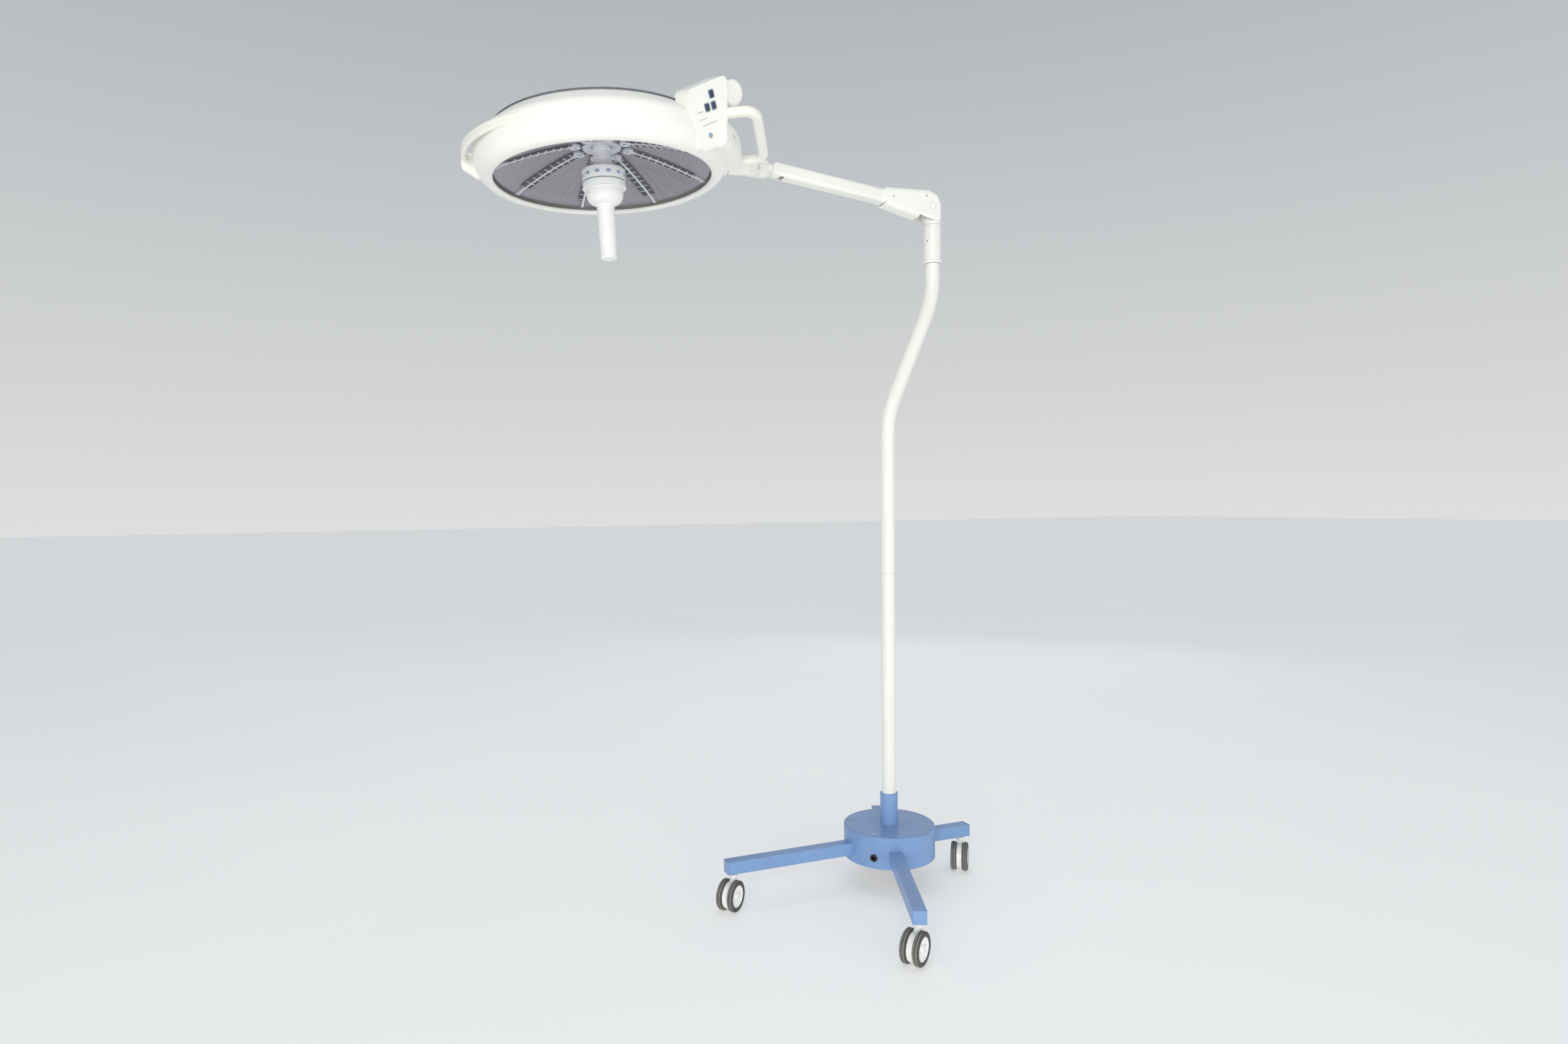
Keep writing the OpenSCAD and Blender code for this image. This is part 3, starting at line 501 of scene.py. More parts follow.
# ---------------------------------------------------------------- casters
def caster(i):
    azimuth, length = LEGS[i]
    a = math.radians(azimuth)
    reach = length - CASTER_INSET
    at = T(reach * math.cos(a), reach * math.sin(a), 0) @ R("Z", CASTER_HEADINGS[i])
    k = i + 1
    axle = at @ T(-CASTER_TRAIL, 0, AXLE_Z)
    bm = bmesh.new()
    body_in = axle @ R("X", 90)
    lathe_into(bm, [(0, -7), (8, -7), (9, -6.2), (23, -6.2), (24, -7)] + arc(29.9, -5.4, 1.6, -90, 0, 4)
               + [(31.1, -2.4), (31.5, 0), (31.1, 2.4)] + arc(29.9, 5.4, 1.6, 0, 90, 4)
               + [(24, 7), (23, 6.2), (9, 6.2), (8, 7), (0, 7)], 72, at=body_in)
    lathe_into(bm, [(5.1, 73.1), (9.4, 73.1), (10.5, 74.2), (10.5, 79.4), (9.6, 80.6), (5.1, 80.6)],
               48, closed=True, at=at)
    pts = [(-18, 14), (-8, 20), (1, 32), (5.6, 48), (6.8, 66), (6.2, 73.6), (-6, 73.4), (-14, 66),
        (-25, 58), (-26, 36)]
    loop = []
    for j in range(len(pts)):
        p0, p1, p2, p3 = (Vector(pts[(j + q) % len(pts)]) for q in (-1, 0, 1, 2))
        for s in range(4):
            t = s / 4
            loop.append(tuple(0.5 * (2 * p1 + (p2 - p0) * t + (2 * p0 - 5 * p1 + 4 * p2 - p3) * t * t
                                     + (3 * p1 - p0 - 3 * p2 + p3) * t ** 3)))
    plate_into(bm, loop, -6.6, 6.6, 1.6, 4, at=at @ R("X", 90))
    finish_mesh(f"caster_body_{k}", bm, "caster_white", f"caster_{k}", "caster_white",
        replaces=(f"caster_fork_{k}",))
    lathe(f"caster_race_{k}", [(5.2, 80.0), (9.8, 80.0), (10.3, 80.5), (10.3, 81.2), (9.8, 81.7),
        (5.2, 81.7)], "steel", f"caster_{k}", "steel", at=at, closed=True, seg=48)
    lathe(f"caster_plate_{k}", [(0, 82.2), (12.4, 82.2), (12.9, 82.7), (12.9, 84.3), (12.4, 84.8),
        (0, 84.8)], "steel", "base", "steel", at=at, seg=48)
    for side, s in (("a", -1), ("b", 1)):
        w = axle @ R("X", -90 * s) @ T(0, 0, WHEEL_START)
        body = f"wheel_{k}{side}"
        hub = [(0, 0.3), (24.6, 0.3), (25.8, 1.3), (25.8, 11.0)] + arc(24.5, 11.6, 1.3, 0, 90, 4) \
            + [(22.6, 12.7), (21.4, 11.6), (18.5, 10.6), (11, 10.0), (8.9, 10.1), (8.2, 11.2),
                (8.0, 12.9)] \
            + arc(7.0, 12.9, 1.0, 0, 90, 4) + [(0, 13.95)]
        lathe(f"wheel_disc_{k}{side}", hub, "caster_white", body, "caster_white", at=w, seg=72,
              replaces=(f"wheel_hub_{k}{side}",))
        tyre = [(25.9, 0.7), (26.9, 0)] + arc(31.4, 3.6, 4.4, -90, -10, 7, 3.6) + [(35.8, 4.6), (36, 7),
            (35.8, 9.4)] \
            + arc(31.2, 10.2, 4.4, 8, 78, 6, 3.7) + [(31.0, 13.8), (29.9, 13.3), (28.5, 13.9),
                (26.8, 13.8), (25.9, 13.1)]
        lathe(f"wheel_band_{k}{side}", tyre, "tyre_grey", body, "tyre_grey", at=w, seg=96, closed=True,
              replaces=(f"wheel_tyre_{k}{side}",))
        bm = bmesh.new()
        for z in (3.6, 7.0, 10.4):
            lathe_into(bm, [(35.5, z - 1.2), (35.95, z - 0.9), (35.95, z + 0.9), (35.5, z + 1.2)], 96,
                closed=True, at=w)
        finish_mesh(f"wheel_tread_{k}{side}", bm, "tyre_tread", body, "tyre_grey")
        bm = bmesh.new()
        for q in range(6):
            spoke = w @ R("Z", 60 * q + 12)
            plate_into(bm, [(9, -1.1), (20.5, -1.7), (20.5, 1.7), (9, 1.1)], 9.7, 11.5, 0.5, 2, at=spoke)
        finish_mesh(f"wheel_spokes_{k}{side}", bm, "caster_white", body, "caster_white")


for i in range(len(LEGS)):
    caster(i)


# ---------------------------------------------------------------- base
def bead(bm, pts, r, closed=False):
    """A ripple weld: the tube's radius pulses along its path."""
    pts = [Vector(p) * MM for p in pts]
    rad = [(r * (1 + 0.14 * math.sin(i * 2.1) + 0.07 * rnd.random())) * MM for i in range(len(pts))]
    rod_into(bm, pts, rad, 8, closed)


def ring_pts(r, z, n, a0=0, a1=360):
    return [(r * math.cos(math.radians(a0 + (a1 - a0) * i / n)), r * math.sin(math.radians(a0
        + (a1 - a0) * i / n)), z) for i in range(n)]


bm = bmesh.new()
bead(bm, ring_pts(22.6, DRUM_TOP + 0.2, 120), 1.5, True)
finish_mesh("socket_weld", bm, "blue_paint", "base", "blue_paint", sharp=80)

bm = bmesh.new()
for ang, _ in LEGS:
    u = Vector((math.cos(math.radians(ang)), math.sin(math.radians(ang)), 0))
    v = Vector((-u.y, u.x, 0))
    x = math.sqrt(DRUM_R ** 2 - LEG_HALF ** 2)
    path = []
    for t in range(28):
        path.append(u * x + v * 15.3 + Vector((0, 0, LEG_TOP - 29 + 29 * t / 27)))
    for t in range(1, 28):
        y = 15.3 - 30.6 * t / 27
        path.append(u * math.sqrt(DRUM_R ** 2 - y * y) + v * y + Vector((0, 0, LEG_TOP + 0.3)))
    for t in range(1, 28):
        path.append(u * x - v * 15.3 + Vector((0, 0, LEG_TOP - 29 * t / 27)))
    bead(bm, path, 1.3)
finish_mesh("leg_welds", bm, "blue_paint", "base", "blue_paint", sharp=80)

bm = bmesh.new()
for ang, length in LEGS:
    reach, azimuth = length - TIP_CAP, math.radians(ang)
    at = T(reach * math.cos(azimuth), reach * math.sin(azimuth), LEG_MID) @ R("Z", ang) @ R("Y", 90)
    pts = [tuple(at @ Vector((x * MM, y * MM, 0)) / MM) for x, y in outline(30.2, 30.2, 1.0, 2)]
    dense = []
    for p, q in zip(pts, pts[1:] + pts[:1]):
        p, q = Vector(p), Vector(q)
        for s in range(max(1, int((q - p).length / 1.6))):
            dense.append(p.lerp(q, s / max(1, int((q - p).length / 1.6))))
    bead(bm, dense, 0.5, True)
finish_mesh("tip_welds", bm, "blue_paint", "base", "blue_paint", sharp=80)

lathe("socket_lip", [(18.15, 224.4), (22.5, 224.4)] + arc(22.0, 225.4, 0.8, -20, 90, 4)
    + [(18.6, 226.3), (18.15, 225.9)], "blue_paint", "base", "blue_paint", closed=True, seg=96)
lathe("drum_foot", [(112.2, 69.6), (112.6, 68.4), (114.4, 68.4), (115.3, 69.2), (115.3, 72.0),
    (114.9, 72.4)], "blue_paint", "base", "blue_paint", closed=True, seg=160)
lathe("drum_top_step", [(106.0, 146.9), (106.6, 147.35), (108.0, 147.35), (108.6, 146.9)], "blue_paint",
    "base", "blue_paint", closed=True, seg=160)
drum_screws = []
for a in (15, 105, 195, 285):
    a = math.radians(a + 22)
    drum_screws.append(T(98 * math.cos(a), 98 * math.sin(a), DRUM_TOP + 0.2))
screws("drum_screws", drum_screws, 3.4, "steel", "base", "steel")
inlet = R("Z", INLET_AZIMUTH) @ T(DRUM_R, 0, INLET_Z) @ R("Y", 90)
lathe("inlet_bezel", [(4.7, 0.6), (4.7, 2.6), (5.6, 3.3), (7.6, 3.0)] + arc(7.9, 1.8, 1.1, 80, 0, 4)
    + [(9.0, -0.5), (8.2, -0.6)], "black_plastic", "base", "black_plastic", at=inlet, closed=True,
    seg=60)
lathe("inlet_depth", [(0, -9), (4.4, -9), (4.4, -3)], "black_plastic", "base", "black_plastic",
    at=inlet, seg=40)
bm = bmesh.new()
for r in (40, 70, 100):
    lathe_into(bm, [(r - 1.2, 71.1), (r - 0.8, 70.4), (r + 0.8, 70.4), (r + 1.2, 71.1)], 96, closed=True)
finish_mesh("casting_ribs", bm, "cast_iron", "base", "cast_iron")
screws("casting_bolts", [R("Z", a) @ T(85, 0, 71.0) @ R("X", 180) for a in (34, 124, 214, 304)], 5,
    "steel", "base", "steel")

# ---------------------------------------------------------------- column
lathe("tube_joint", [(18.0, 784.9), (18.25, 785.2), (18.25, 786.9), (18.0, 787.2)], "warm_white_paint",
    "base", "warm_white_paint", closed=True, seg=96)
lathe("tube_joint_line", [(18.05, 785.8), (18.32, 785.85), (18.32, 786.15), (18.05, 786.2)], "gasket",
    "base", "black_plastic", closed=True, seg=96)
sleeve = T(COLUMN_X, 0, 0)
lathe("sleeve_foot", [(18.1, 1566.4), (20.2, 1566.4)] + arc(20.5, 1567.6, 1.1, -80, 0, 4)
    + [(21.65, 1574.0), (21.2, 1575.0)], "warm_white_paint", "base", "warm_white_paint", at=sleeve,
    closed=True, seg=96)
lathe("sleeve_line", [(18.05, 1565.6), (18.9, 1565.7), (18.9, 1566.3), (18.05, 1566.4)], "gasket", "base",
      "black_plastic", at=sleeve, closed=True, seg=96)
lathe("sleeve_race", [(20.0, 1661.7), (21.5, 1661.75), (21.5, 1662.25), (20.0, 1662.3)], "gasket", "base",
      "black_plastic", at=sleeve, closed=True, seg=96)
brake = T(COLUMN_X, 0, SCREW_Z) @ R("Z", 205) @ R("Y", 90) @ T(0, 0, 21.0)
lathe("brake_screw", [(0, 0), (5.0, 0), (5.4, 0.5), (5.4, 2.2), (4.6, 3.0), (2.3, 3.0), (2.3, 1.0),
    (0, 1.0)], "hub_white", "base", "hub_white", at=brake, seg=40)
# painted shade: a dark disc at the bottom of the screw's socket
lathe("brake_socket_shade", [(0, 1.05), (2.2, 1.05), (2.2, 1.3), (0, 1.3)], "painted_recess_shade", "base",
    "black_plastic", at=brake, seg=6)
sock = R("Z", 70) @ T(22.0, 0, 202) @ R("Y", 90)
screws("socket_screw_head", [sock], 4.0, "steel", "base", "steel")

# ---------------------------------------------------------------- arm
def section_ring(name, w, h, r, x0, x1, thick, mat, body, slot, at):
    bm = bmesh.new()
    outer, inner = outline(h, w, r, 8), outline(h - 2 * thick, w - 2 * thick, max(r - thick, 1), 8)
    loops = []
    for pts, x in ((inner, x0), (inset(outer, 0.5), x0), (outer, x0 - 0.5), (outer, x1 + 0.5),
        (inset(outer, 0.5), x1),
                   (inner, x1)):
        loops.append([bm.verts.new(Vector((x * MM, q * MM, p * MM))) for p, q in pts])
    n = len(outer)
    for p, q in zip(loops, loops[1:] + loops[:1]):
        for k in range(n):
            bm.faces.new((p[k], p[(k + 1) % n], q[(k + 1) % n], q[k]))
    return finish_mesh(name, bm, mat, body, slot, at=at)


section_ring("mouth_band", 40.6, 34.6, 10.2, -130, -139.5, 1.2, "hub_white", "spring_arm",
    "warm_white_plastic", ARM)
section_ring("arm_end_band", 38.9, 32.9, 9.4, -389, -397, 0.4, "warm_white_paint", "spring_arm",
    "warm_white_paint", ARM)
for s, tag in ((-1, "near"), (1, "far")):
    side = facing((0.118, s * 0.02515, 1.7044), (0, s, 0))
    lathe(f"pivot_cap_{tag}", [(0, -0.4), (8.6, -0.4), (8.9, 0.0)] + arc(7.9, 0.2, 0.9, 0, 90, 4)
        + [(3, 1.25), (0, 1.3)], "warm_white_plastic", "spring_arm", "warm_white_plastic", at=side,
        seg=60)
    # painted shade: a brown ring round each pivot cap stands in for the shadow in its seam
    lathe(f"pivot_cap_shade_line_{tag}", [(8.9, -0.3), (9.4, -0.3), (9.4, 0.12), (8.9, 0.12)], "painted_brown_shade",
        "spring_arm", "warm_white_plastic", at=side, seg=60, closed=True)
    pin = ARM @ T(-ARM_LENGTH, s * 19, 0)
    cap = facing((pin.translation.x, s * 0.019, pin.translation.z), (0, s, 0))
    lathe(f"level_pin_cap_{tag}", [(0, 0), (6.2, 0), (6.6, 0.3), (6.6, 0.9), (6.0, 1.4), (2.0, 1.5),
        (0, 1.5)], "warm_white_plastic", "arm_end", "warm_white_plastic", at=cap, seg=48)
screws("cover_screws", [facing((x * MM, s * y * MM, z * MM), (0, s, 0)) for s in (-1, 1) for x, y,
    z in ((6, 22.6, 1715), (100, 24.6, 1726))], 2.6, "steel", "spring_arm", "steel")

# ---------------------------------------------------------------- yoke
lathe("yaw_cap_top", [(0, 15), (12.2, 15), (12.8, 15.6)] + arc(11.6, 16.2, 1.2, 0, 90, 4)
    + [(4, 17.6), (0, 17.7)], "warm_white_plastic", "yoke", "warm_white_plastic", at=YAW, seg=60)
lathe("yaw_cap_low", [(0, -15), (12.2, -15), (12.8, -15.6), (12.0, -17.2), (4, -17.6), (0, -17.7)],
      "warm_white_plastic", "yoke", "warm_white_plastic", at=YAW, seg=60)
neck = YAW @ R("Y", -3) @ T(-98.6, 0, 0) @ R("Y", 90)
lathe("neck_collar", [(15.5, 0.05), (18.6, 0.05), (19.2, 0.7), (19.2, 7.0), (18.4, 7.9), (17.1, 8.2),
    (15.5, 8.2)], "hub_white", "yoke", "hub_white", at=neck, closed=True, seg=72)
lathe("neck_line", [(16.9, 9.4), (17.35, 9.5), (17.35, 10.2), (16.9, 10.3)], "gasket", "yoke",
    "black_plastic", at=neck, closed=True, seg=72)

# ---------------------------------------------------------------- head
def mirror_z(r):
    return MIRROR_HIGH - MIRROR_DROP * (r / MIRROR_R) ** MIRROR_POWER


lathe("rear_gasket", [(233.2, 97.4), (235.4, 96.6), (236.4, 97.6), (236.4, 100.6), (235.2, 101.4),
    (233.2, 101.0)], "gasket", "head", "black_plastic", at=HEAD, closed=True, seg=180)
lathe("opening_trim", [(238.0, 2.6), (238.3, 0.9), (239.6, -0.2), (241.6, -1.4), (243.4, -2.7),
    (241.0, -2.4), (238.6, -1.0), (237.4, 0.8), (237.2, 3.0)], "warm_white_plastic", "head",
    "warm_white_plastic", at=HEAD, closed=True, seg=180)

# reflector facets
bm = bmesh.new()
SUB = 14
radii = [21 + (236 - 21) * i / 22 for i in range(23)]
grid = []
for r in radii:
    row = []
    for k in range(SEGMENTS * SUB):
        a = 2 * math.pi * k / (SEGMENTS * SUB)
        u = (k % SUB) / SUB
        sag = 3.2 * (0.5 - abs(u - 0.5)) ** 0.8 * min(1.0, (r - 21) / 60)
        row.append(bm.verts.new(Vector((r * math.cos(a), r * math.sin(a), mirror_z(r) - 0.5
            + 0.25 * sag)) * MM))
    grid.append(row)
for p, q in zip(grid, grid[1:]):
    for k in range(SEGMENTS * SUB):
        j = (k + 1) % (SEGMENTS * SUB)
        bm.faces.new((p[k], q[k], q[j], p[j]))
for f in bm.faces:
    f.normal_flip()
facets = finish_mesh("reflector_facets", bm, "mirror_grey", "head", "mirror_grey", at=HEAD, sharp=30,
    replaces=("reflector",))
thick = facets.modifiers.new("thick", "SOLIDIFY")
thick.thickness = 1.4 * MM
thick.offset = 0

# slots beside the ribs, their depth shown as dark sheets of painted shade, with fins across some of them
bm_slot_shade, bm_fin, bm_ledge = bmesh.new(), bmesh.new(), bmesh.new()
for k in range(8):
    turn = R("Z", RIB_STEP * k)
    for i in range(26):
        r0, r1 = 66 + 5.6 * i, 66 + 5.6 * (i + 1)
        wide = 14.0 if k % 2 else 10.0
        for bm, y0, y1, lift in ((bm_slot_shade, 3.0, 3.0 + wide, 4.4),
                (bm_slot_shade, -3.0 - wide * 0.7, -3.0, 4.4)):
            vs = [bm.verts.new(turn @ (Vector((r, y, mirror_z(math.hypot(r, y)) - lift - d)) * MM))
                  for d in (0, 0.5) for r, y in ((r0, y0), (r1, y0), (r1, y1), (r0, y1))]
            for q in ((0, 1, 2, 3), (7, 6, 5, 4), (0, 4, 5, 1), (1, 5, 6, 2), (2, 6, 7, 3), (3, 7, 4, 0)):
                bm.faces.new([vs[x] for x in q])
        if i % 3 == 1:
            for y, w in ((3.0 + wide / 2, wide), (-3.0 - wide * 0.35, wide * 0.7)):
                at = turn @ T((r0 + r1) / 2, y, mirror_z(r0) - 6.4)
                plate_into(bm_fin, outline(2.4, w + 0.6, 0.6, 2), 0, 1.4, 0.3, 1, at=at)
    pts = []
    for i in range(24):
        r = 62 + (231 - 62) * i / 23
        pts.append(turn @ (Vector((r, 0, mirror_z(r) - (5.4 if i < 22 else 4.2))) * MM))
    rod_into(bm_ledge, pts, 2.5 * MM, 10, squash=(0.45, 1.0), up=(0, 0, 1))
finish_mesh("reflector_slot_shade", bm_slot_shade, "painted_recess_shade", "head", "black_plastic", at=HEAD)
finish_mesh("slot_fins", bm_fin, "rib_grey", "head", "rib_grey", at=HEAD)
finish_mesh("rib_crowns", bm_ledge, "rib_grey", "head", "rib_grey", at=HEAD)

# round bosses where the ribs meet the middle
bm, bm_shade = bmesh.new(), bmesh.new()
for k in range(8):
    z = mirror_z(56)
    at = R("Z", 45 * k) @ T(60, 0, z)
    lathe_into(bm, [(6.5, 0.5), (6.5, -7.2), (7.4, -8.4), (11.6, -8.4), (12.8, -7.2), (13.4, 0.5)], 36,
        closed=True, at=at)
    # painted shade: a dark ring round each boss and a dark disc inside its bore
    lathe_into(bm_shade, [(13.0, -0.6), (16.2, -1.2), (16.6, -2.0), (16.2, -2.6), (13.2, -2.6)], 36,
        closed=True, at=at)
    lathe_into(bm_shade, [(0, -5.4), (6.6, -5.4), (6.6, -4.8), (0, -4.8)], 30, at=at)
finish_mesh("rib_bosses", bm, "rib_grey", "head", "rib_grey", at=HEAD)
finish_mesh("rib_boss_shade", bm_shade, "painted_recess_shade", "head", "black_plastic", at=HEAD)
lathe("centre_ring", [(22, 77), (22, 70), (23.5, 68.6), (40, 66.4), (42, 67.2), (42, 72), (30, 76.4)],
    "rib_grey", "head", "rib_grey", at=HEAD, closed=True, seg=96)

# lamp tube fittings
bm = bmesh.new()
for z in (22.2, 42.0, 60.0, 79.0):
    lathe_into(bm, [(18.4, z), (20.3, z), (20.9, z + 0.7), (20.9, z + 2.3), (20.3, z + 3.0),
        (18.4, z + 3.0)], 64, closed=True)
finish_mesh("lamp_tube_rings", bm, "hub_white", "head", "hub_white", at=HEAD)
bm = bmesh.new()
for k in range(12):
    a = R("Z", 30 * k)
    at = a @ T(46.05, 0, 6.5) @ R("Y", 90) @ R("Z", 90)
    plate_into(bm, outline(9.2, 6.2, 1.4, 4), -0.2, 0.9, 0.4, 2, at=at)
finish_mesh("unit_windows", bm, "window_blue", "head", "hub_white", at=HEAD)
lathe("unit_groove", [(46.0, -8.3), (47.2, -8.1), (47.2, -5.7), (46.0, -5.5)], "mark_grey", "head",
    "hub_white", at=HEAD, closed=True, seg=96)
lathe("unit_crown", [(43.2, 21.9), (44.0, 21.7), (47.2, 18.6), (47.8, 17.4), (47.3, 16.6), (42, 21.6)],
    "hub_white", "head", "hub_white", at=HEAD, closed=True, seg=96)
bm = bmesh.new()
for z in (-3.0, 11.5):
    lathe_into(bm, [(47.3, z), (47.9, z + 0.4), (47.9, z + 1.4), (47.3, z + 1.8)], 96, closed=True)
finish_mesh("unit_beads", bm, "hub_white", "head", "hub_white", at=HEAD)

# sterile handle
bowl = [(0, 7.8), (7.9, 7.8), (7.9, -20.3), (40.2, -20.3)] + arc(40.2, -21.5, 1.3, 90, 0,
    4) + [(41.5, -26.5), (40.9, -27.2), (40.9, -28.2), (41.3, -28.9)] + arc(21.6, -28.9, 19.6, 0, -82,
    12, 25.0) + [(21.0, -54.6), (19.6, -56.4), (19.5, -60)]
grip = []
for i in range(9):
    z = -66 - 10 * i
    grip += [(19.35 - 0.018 * 10 * i, z), (19.32 - 0.018 * 10 * i, z - 5)]
grip += [(17.6, -163), (17.9, -164.5), (17.9, -169.4)] + arc(15.9, -169.8, 2.0, 0, -90,
    5) + [(9, -171.8), (8.4, -170.6), (0, -170.4)]
lathe("turning_handle", bowl + grip, "grip_white", "focus_grip", "grip_white", at=HEAD, seg=96,
    replaces=("sterile_handle",))

# screws at the handle feet
def head_point(r, az, z):
    a = math.radians(az)
    return HEAD @ Vector((r * math.cos(a) * MM, r * math.sin(a) * MM, z * MM))


def head_dir(az, el=0):
    a, e = math.radians(az), math.radians(el)
    return HEAD.to_3x3() @ Vector((math.cos(a) * math.cos(e), math.sin(a) * math.cos(e), math.sin(e)))


screws("strap_screws", [facing(head_point(302.0, 165, 36), head_dir(165)), facing(head_point(302.0, 165,
    49), head_dir(165))], 3.4, "steel", "head", "steel")
screws("pod_screws", [facing(head_point(306.0, -24, 40), head_dir(-24)), facing(head_point(306.0, -24,
    58), head_dir(-24)), facing(head_point(306.0, -40, 40), head_dir(-40))], 3.6, "steel", "head",
    "steel")

# rear: service cover, vents, screws
bm, bm_gap_shade = bmesh.new(), bmesh.new()
for k in range(6):
    for j in range(5):
        a = 60 * k - 10 + 5 * j
        at = R("Z", a) @ T(150, 0, COVER_Z + COVER_RISE * math.sqrt(1 - (150 / COVER_R) ** 2)) @ R("Y",
            11)
        plate_into(bm, outline(44, 5.0, 2.4, 5), -0.8, 1.0, 0.5, 2, at=at)
        # painted shade: dark strips in the gaps between the louvres
        plate_into(bm_gap_shade, outline(38, 2.2, 1.05, 4), 0.6, 1.15, 0.1, 1, at=at)
finish_mesh("vent_louvres", bm, "cover_grey", "head", "cover_grey", at=HEAD)
finish_mesh("vent_gap_shade", bm_gap_shade, "painted_recess_shade", "head", "black_plastic", at=HEAD)
lathe("rear_cap", [(0, 123.6), (52, 123.0), (53, 123.6), (52, 125.2), (48, 126.4), (30, 127.2),
    (0, 127.5)], "cover_grey", "head", "cover_grey", at=HEAD, seg=96)
rear = []
for k in range(8):
    r = 219
    z = COVER_Z + COVER_RISE * math.sqrt(1 - (r / COVER_R) ** 2)
    rear.append(R("Z", 45 * k + 22) @ T(r, 0, z) @ R("Y", 38))
screws("rear_screws", [HEAD @ m for m in rear], 3.6, "steel", "head", "steel")

# ---------------------------------------------------------------- control panel
KEYS = ((20, 30, "power"), (19, 8.5, "brighter"), (1, 9, "dimmer"))
FACE = PANEL @ R("X", 90)
bm = bmesh.new()
for x, y, tag in KEYS:
    outer, inner = outline(15.5, 17.5, 3.4, 5), outline(11.0, 13.0, 2.2, 5)
    lo = [bm.verts.new(Vector((p * MM + x * MM, q * MM + y * MM, -0.2 * MM))) for p, q in outer]
    up = [bm.verts.new(Vector((p * MM + x * MM, q * MM + y * MM, 0.7 * MM))) for p,
        q in inset(outer, 0.6)]
    ui = [bm.verts.new(Vector((p * MM + x * MM, q * MM + y * MM, 0.7 * MM))) for p, q in inner]
    li = [bm.verts.new(Vector((p * MM + x * MM, q * MM + y * MM, -0.2 * MM))) for p, q in inner]
    n = len(outer)
    for p, q in ((lo, up), (up, ui), (ui, li), (li, lo)):
        for k in range(n):
            bm.faces.new((p[k], p[(k + 1) % n], q[(k + 1) % n], q[k]))
finish_mesh("key_frames", bm, "mark_grey", "head", "button_dark", at=FACE)
for x, y, tag in KEYS:
    plate(f"key_{tag}_cap", outline(10.2, 12.2, 2.0, 5), -2.8, 1.5, "button_dark", f"key_{tag}",
        "button_dark", edge=0.8, at=FACE @ T(x, y, 0), replaces=(f"button_{tag}",))
bm = bmesh.new()
for x0, y0, x1, y1, w in ((-27, 5, -12, 5, 1.4), (-25, -9, -6, -9, 1.0), (-21, -21, 18, -21, 1.2)):
    plate_into(bm, outline(x1 - x0, w, w / 2 - 0.01, 3), -0.1, 0.25, 0.05, 1, at=T((x0 + x1) / 2, y0, 0))
finish_mesh("panel_marks", bm, "mark_grey", "head", "button_dark", at=FACE)
lathe("panel_lamp_ring", [(3.0, -0.2), (3.0, 0.9), (3.6, 1.3), (4.8, 1.0), (5.2, 0.3), (5.2, -0.2)],
    "mark_grey", "head", "button_dark", at=FACE @ T(-8, -42, 0), closed=True, seg=36)
lathe("panel_lamp", [(0, -0.2), (3.0, -0.2), (3.0, 0.6), (2.0, 1.3), (0, 1.6)], "window_blue", "head",
    "hub_white", at=FACE @ T(-8, -42, 0), seg=36)

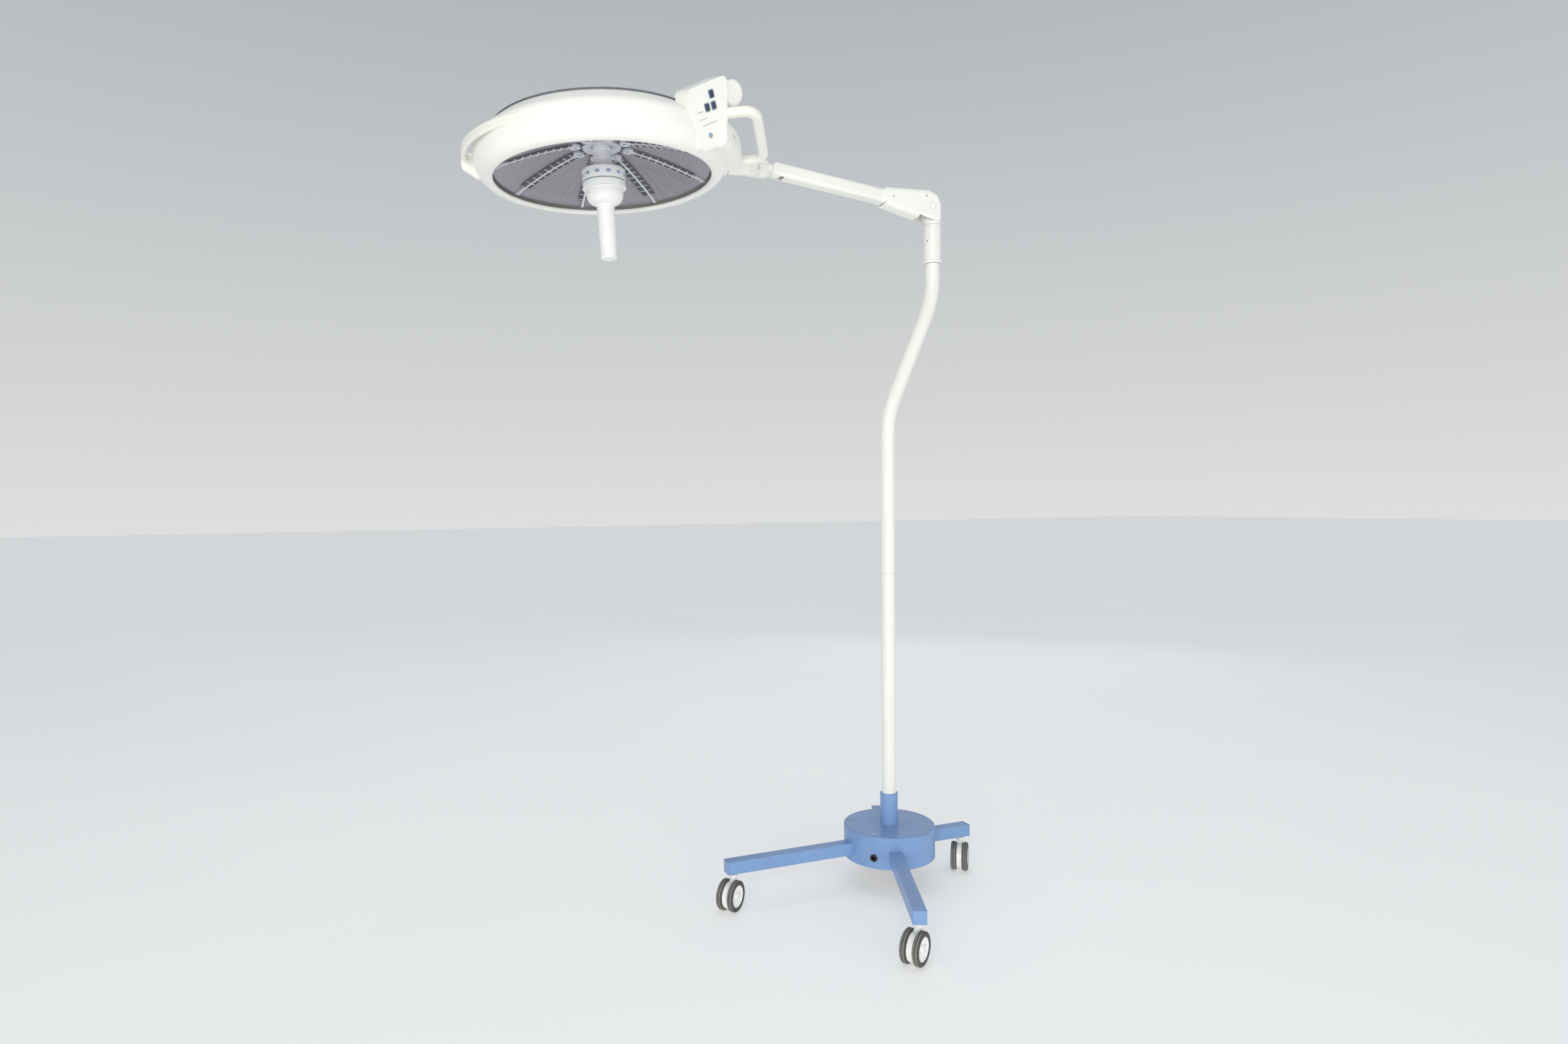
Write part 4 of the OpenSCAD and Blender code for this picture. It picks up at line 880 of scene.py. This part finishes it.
# ---------------------------------------------------------------- stage
bm = bmesh.new()
bmesh.ops.create_grid(bm, x_segments=8, y_segments=8, size=40)
me = bpy.data.meshes.new("floor")
bm.to_mesh(me)
bm.free()
floor = bpy.data.objects.new("floor", me)
bpy.context.scene.collection.objects.link(floor)
floor.location = (0, 0, -0.0005)
nf = Nodes("floor")
tone = nf.mix(nf.noise(0.7, 3.0), (0.74, 0.745, 0.74, 1), (0.79, 0.79, 0.78, 1))
nf.put(nf.bsdf.inputs["Base Color"], tone)
nf.put(nf.bsdf.inputs["Emission Color"], tone)
nf.bsdf.inputs["Emission Strength"].default_value = 0.40
nf.bsdf.inputs["Roughness"].default_value = 0.8
nf.bsdf.inputs["Specular IOR Level"].default_value = 0.2
nf.put(nf.bsdf.inputs["Normal"], nf.bump(nf.noise(60.0, 4.0), 0.05, 0.001))
floor.data.materials.append(nf.mat)

world = bpy.data.worlds.new("studio")
bpy.context.scene.world = world
world.use_nodes = True
wt = world.node_tree
bg = wt.nodes["Background"]
tc = wt.nodes.new("ShaderNodeTexCoord")
sp = wt.nodes.new("ShaderNodeSeparateXYZ")
mr = wt.nodes.new("ShaderNodeMapRange")
mx = wt.nodes.new("ShaderNodeMix")
mx.data_type = "RGBA"
wt.links.new(tc.outputs["Generated"], sp.inputs[0])
wt.links.new(sp.outputs[2], mr.inputs["Value"])
mr.inputs["From Min"].default_value = -0.05
mr.inputs["From Max"].default_value = 0.55
wt.links.new(mr.outputs["Result"], mx.inputs["Factor"])
mx.inputs[6].default_value = (0.745, 0.75, 0.74, 1)
mx.inputs[7].default_value = (0.40, 0.43, 0.46, 1)
wt.links.new(mx.outputs[2], bg.inputs["Color"])
bg.inputs["Strength"].default_value = 1.0


def lamp(name, loc, aim, size, power, color=(1, 1, 1)):
    light = bpy.data.lights.new(name, "AREA")
    light.shape = "RECTANGLE"
    light.size, light.size_y = size
    light.energy = power
    light.color = color
    ob = bpy.data.objects.new(name, light)
    bpy.context.scene.collection.objects.link(ob)
    ob.location = loc
    ob.rotation_euler = (Vector(aim) - Vector(loc)).to_track_quat("-Z", "Y").to_euler()
    return ob


lamp("key", (-3.0, -4.2, 2.0), (-0.3, 0, 1.1), (2.6, 2.0), 72, (1.0, 0.985, 0.955))
lamp("front", (0.6, -4.6, 1.0), (-0.1, 0, 0.9), (2.6, 1.8), 26, (1.0, 0.99, 0.97))
lamp("under", (-1.6, -2.6, 0.25), (-0.75, 0, 1.68), (1.4, 1.0), 17, (1.0, 0.99, 0.97))
lamp("top", (-0.2, 0.4, 4.2), (-0.2, 0, 0.6), (3.0, 3.0), 14, (0.96, 0.98, 1.0))
lamp("back", (2.4, 3.2, 2.2), (0, 0, 1.2), (3.0, 3.0), 10, (0.97, 0.98, 1.0))

bpy.context.view_layer.update()
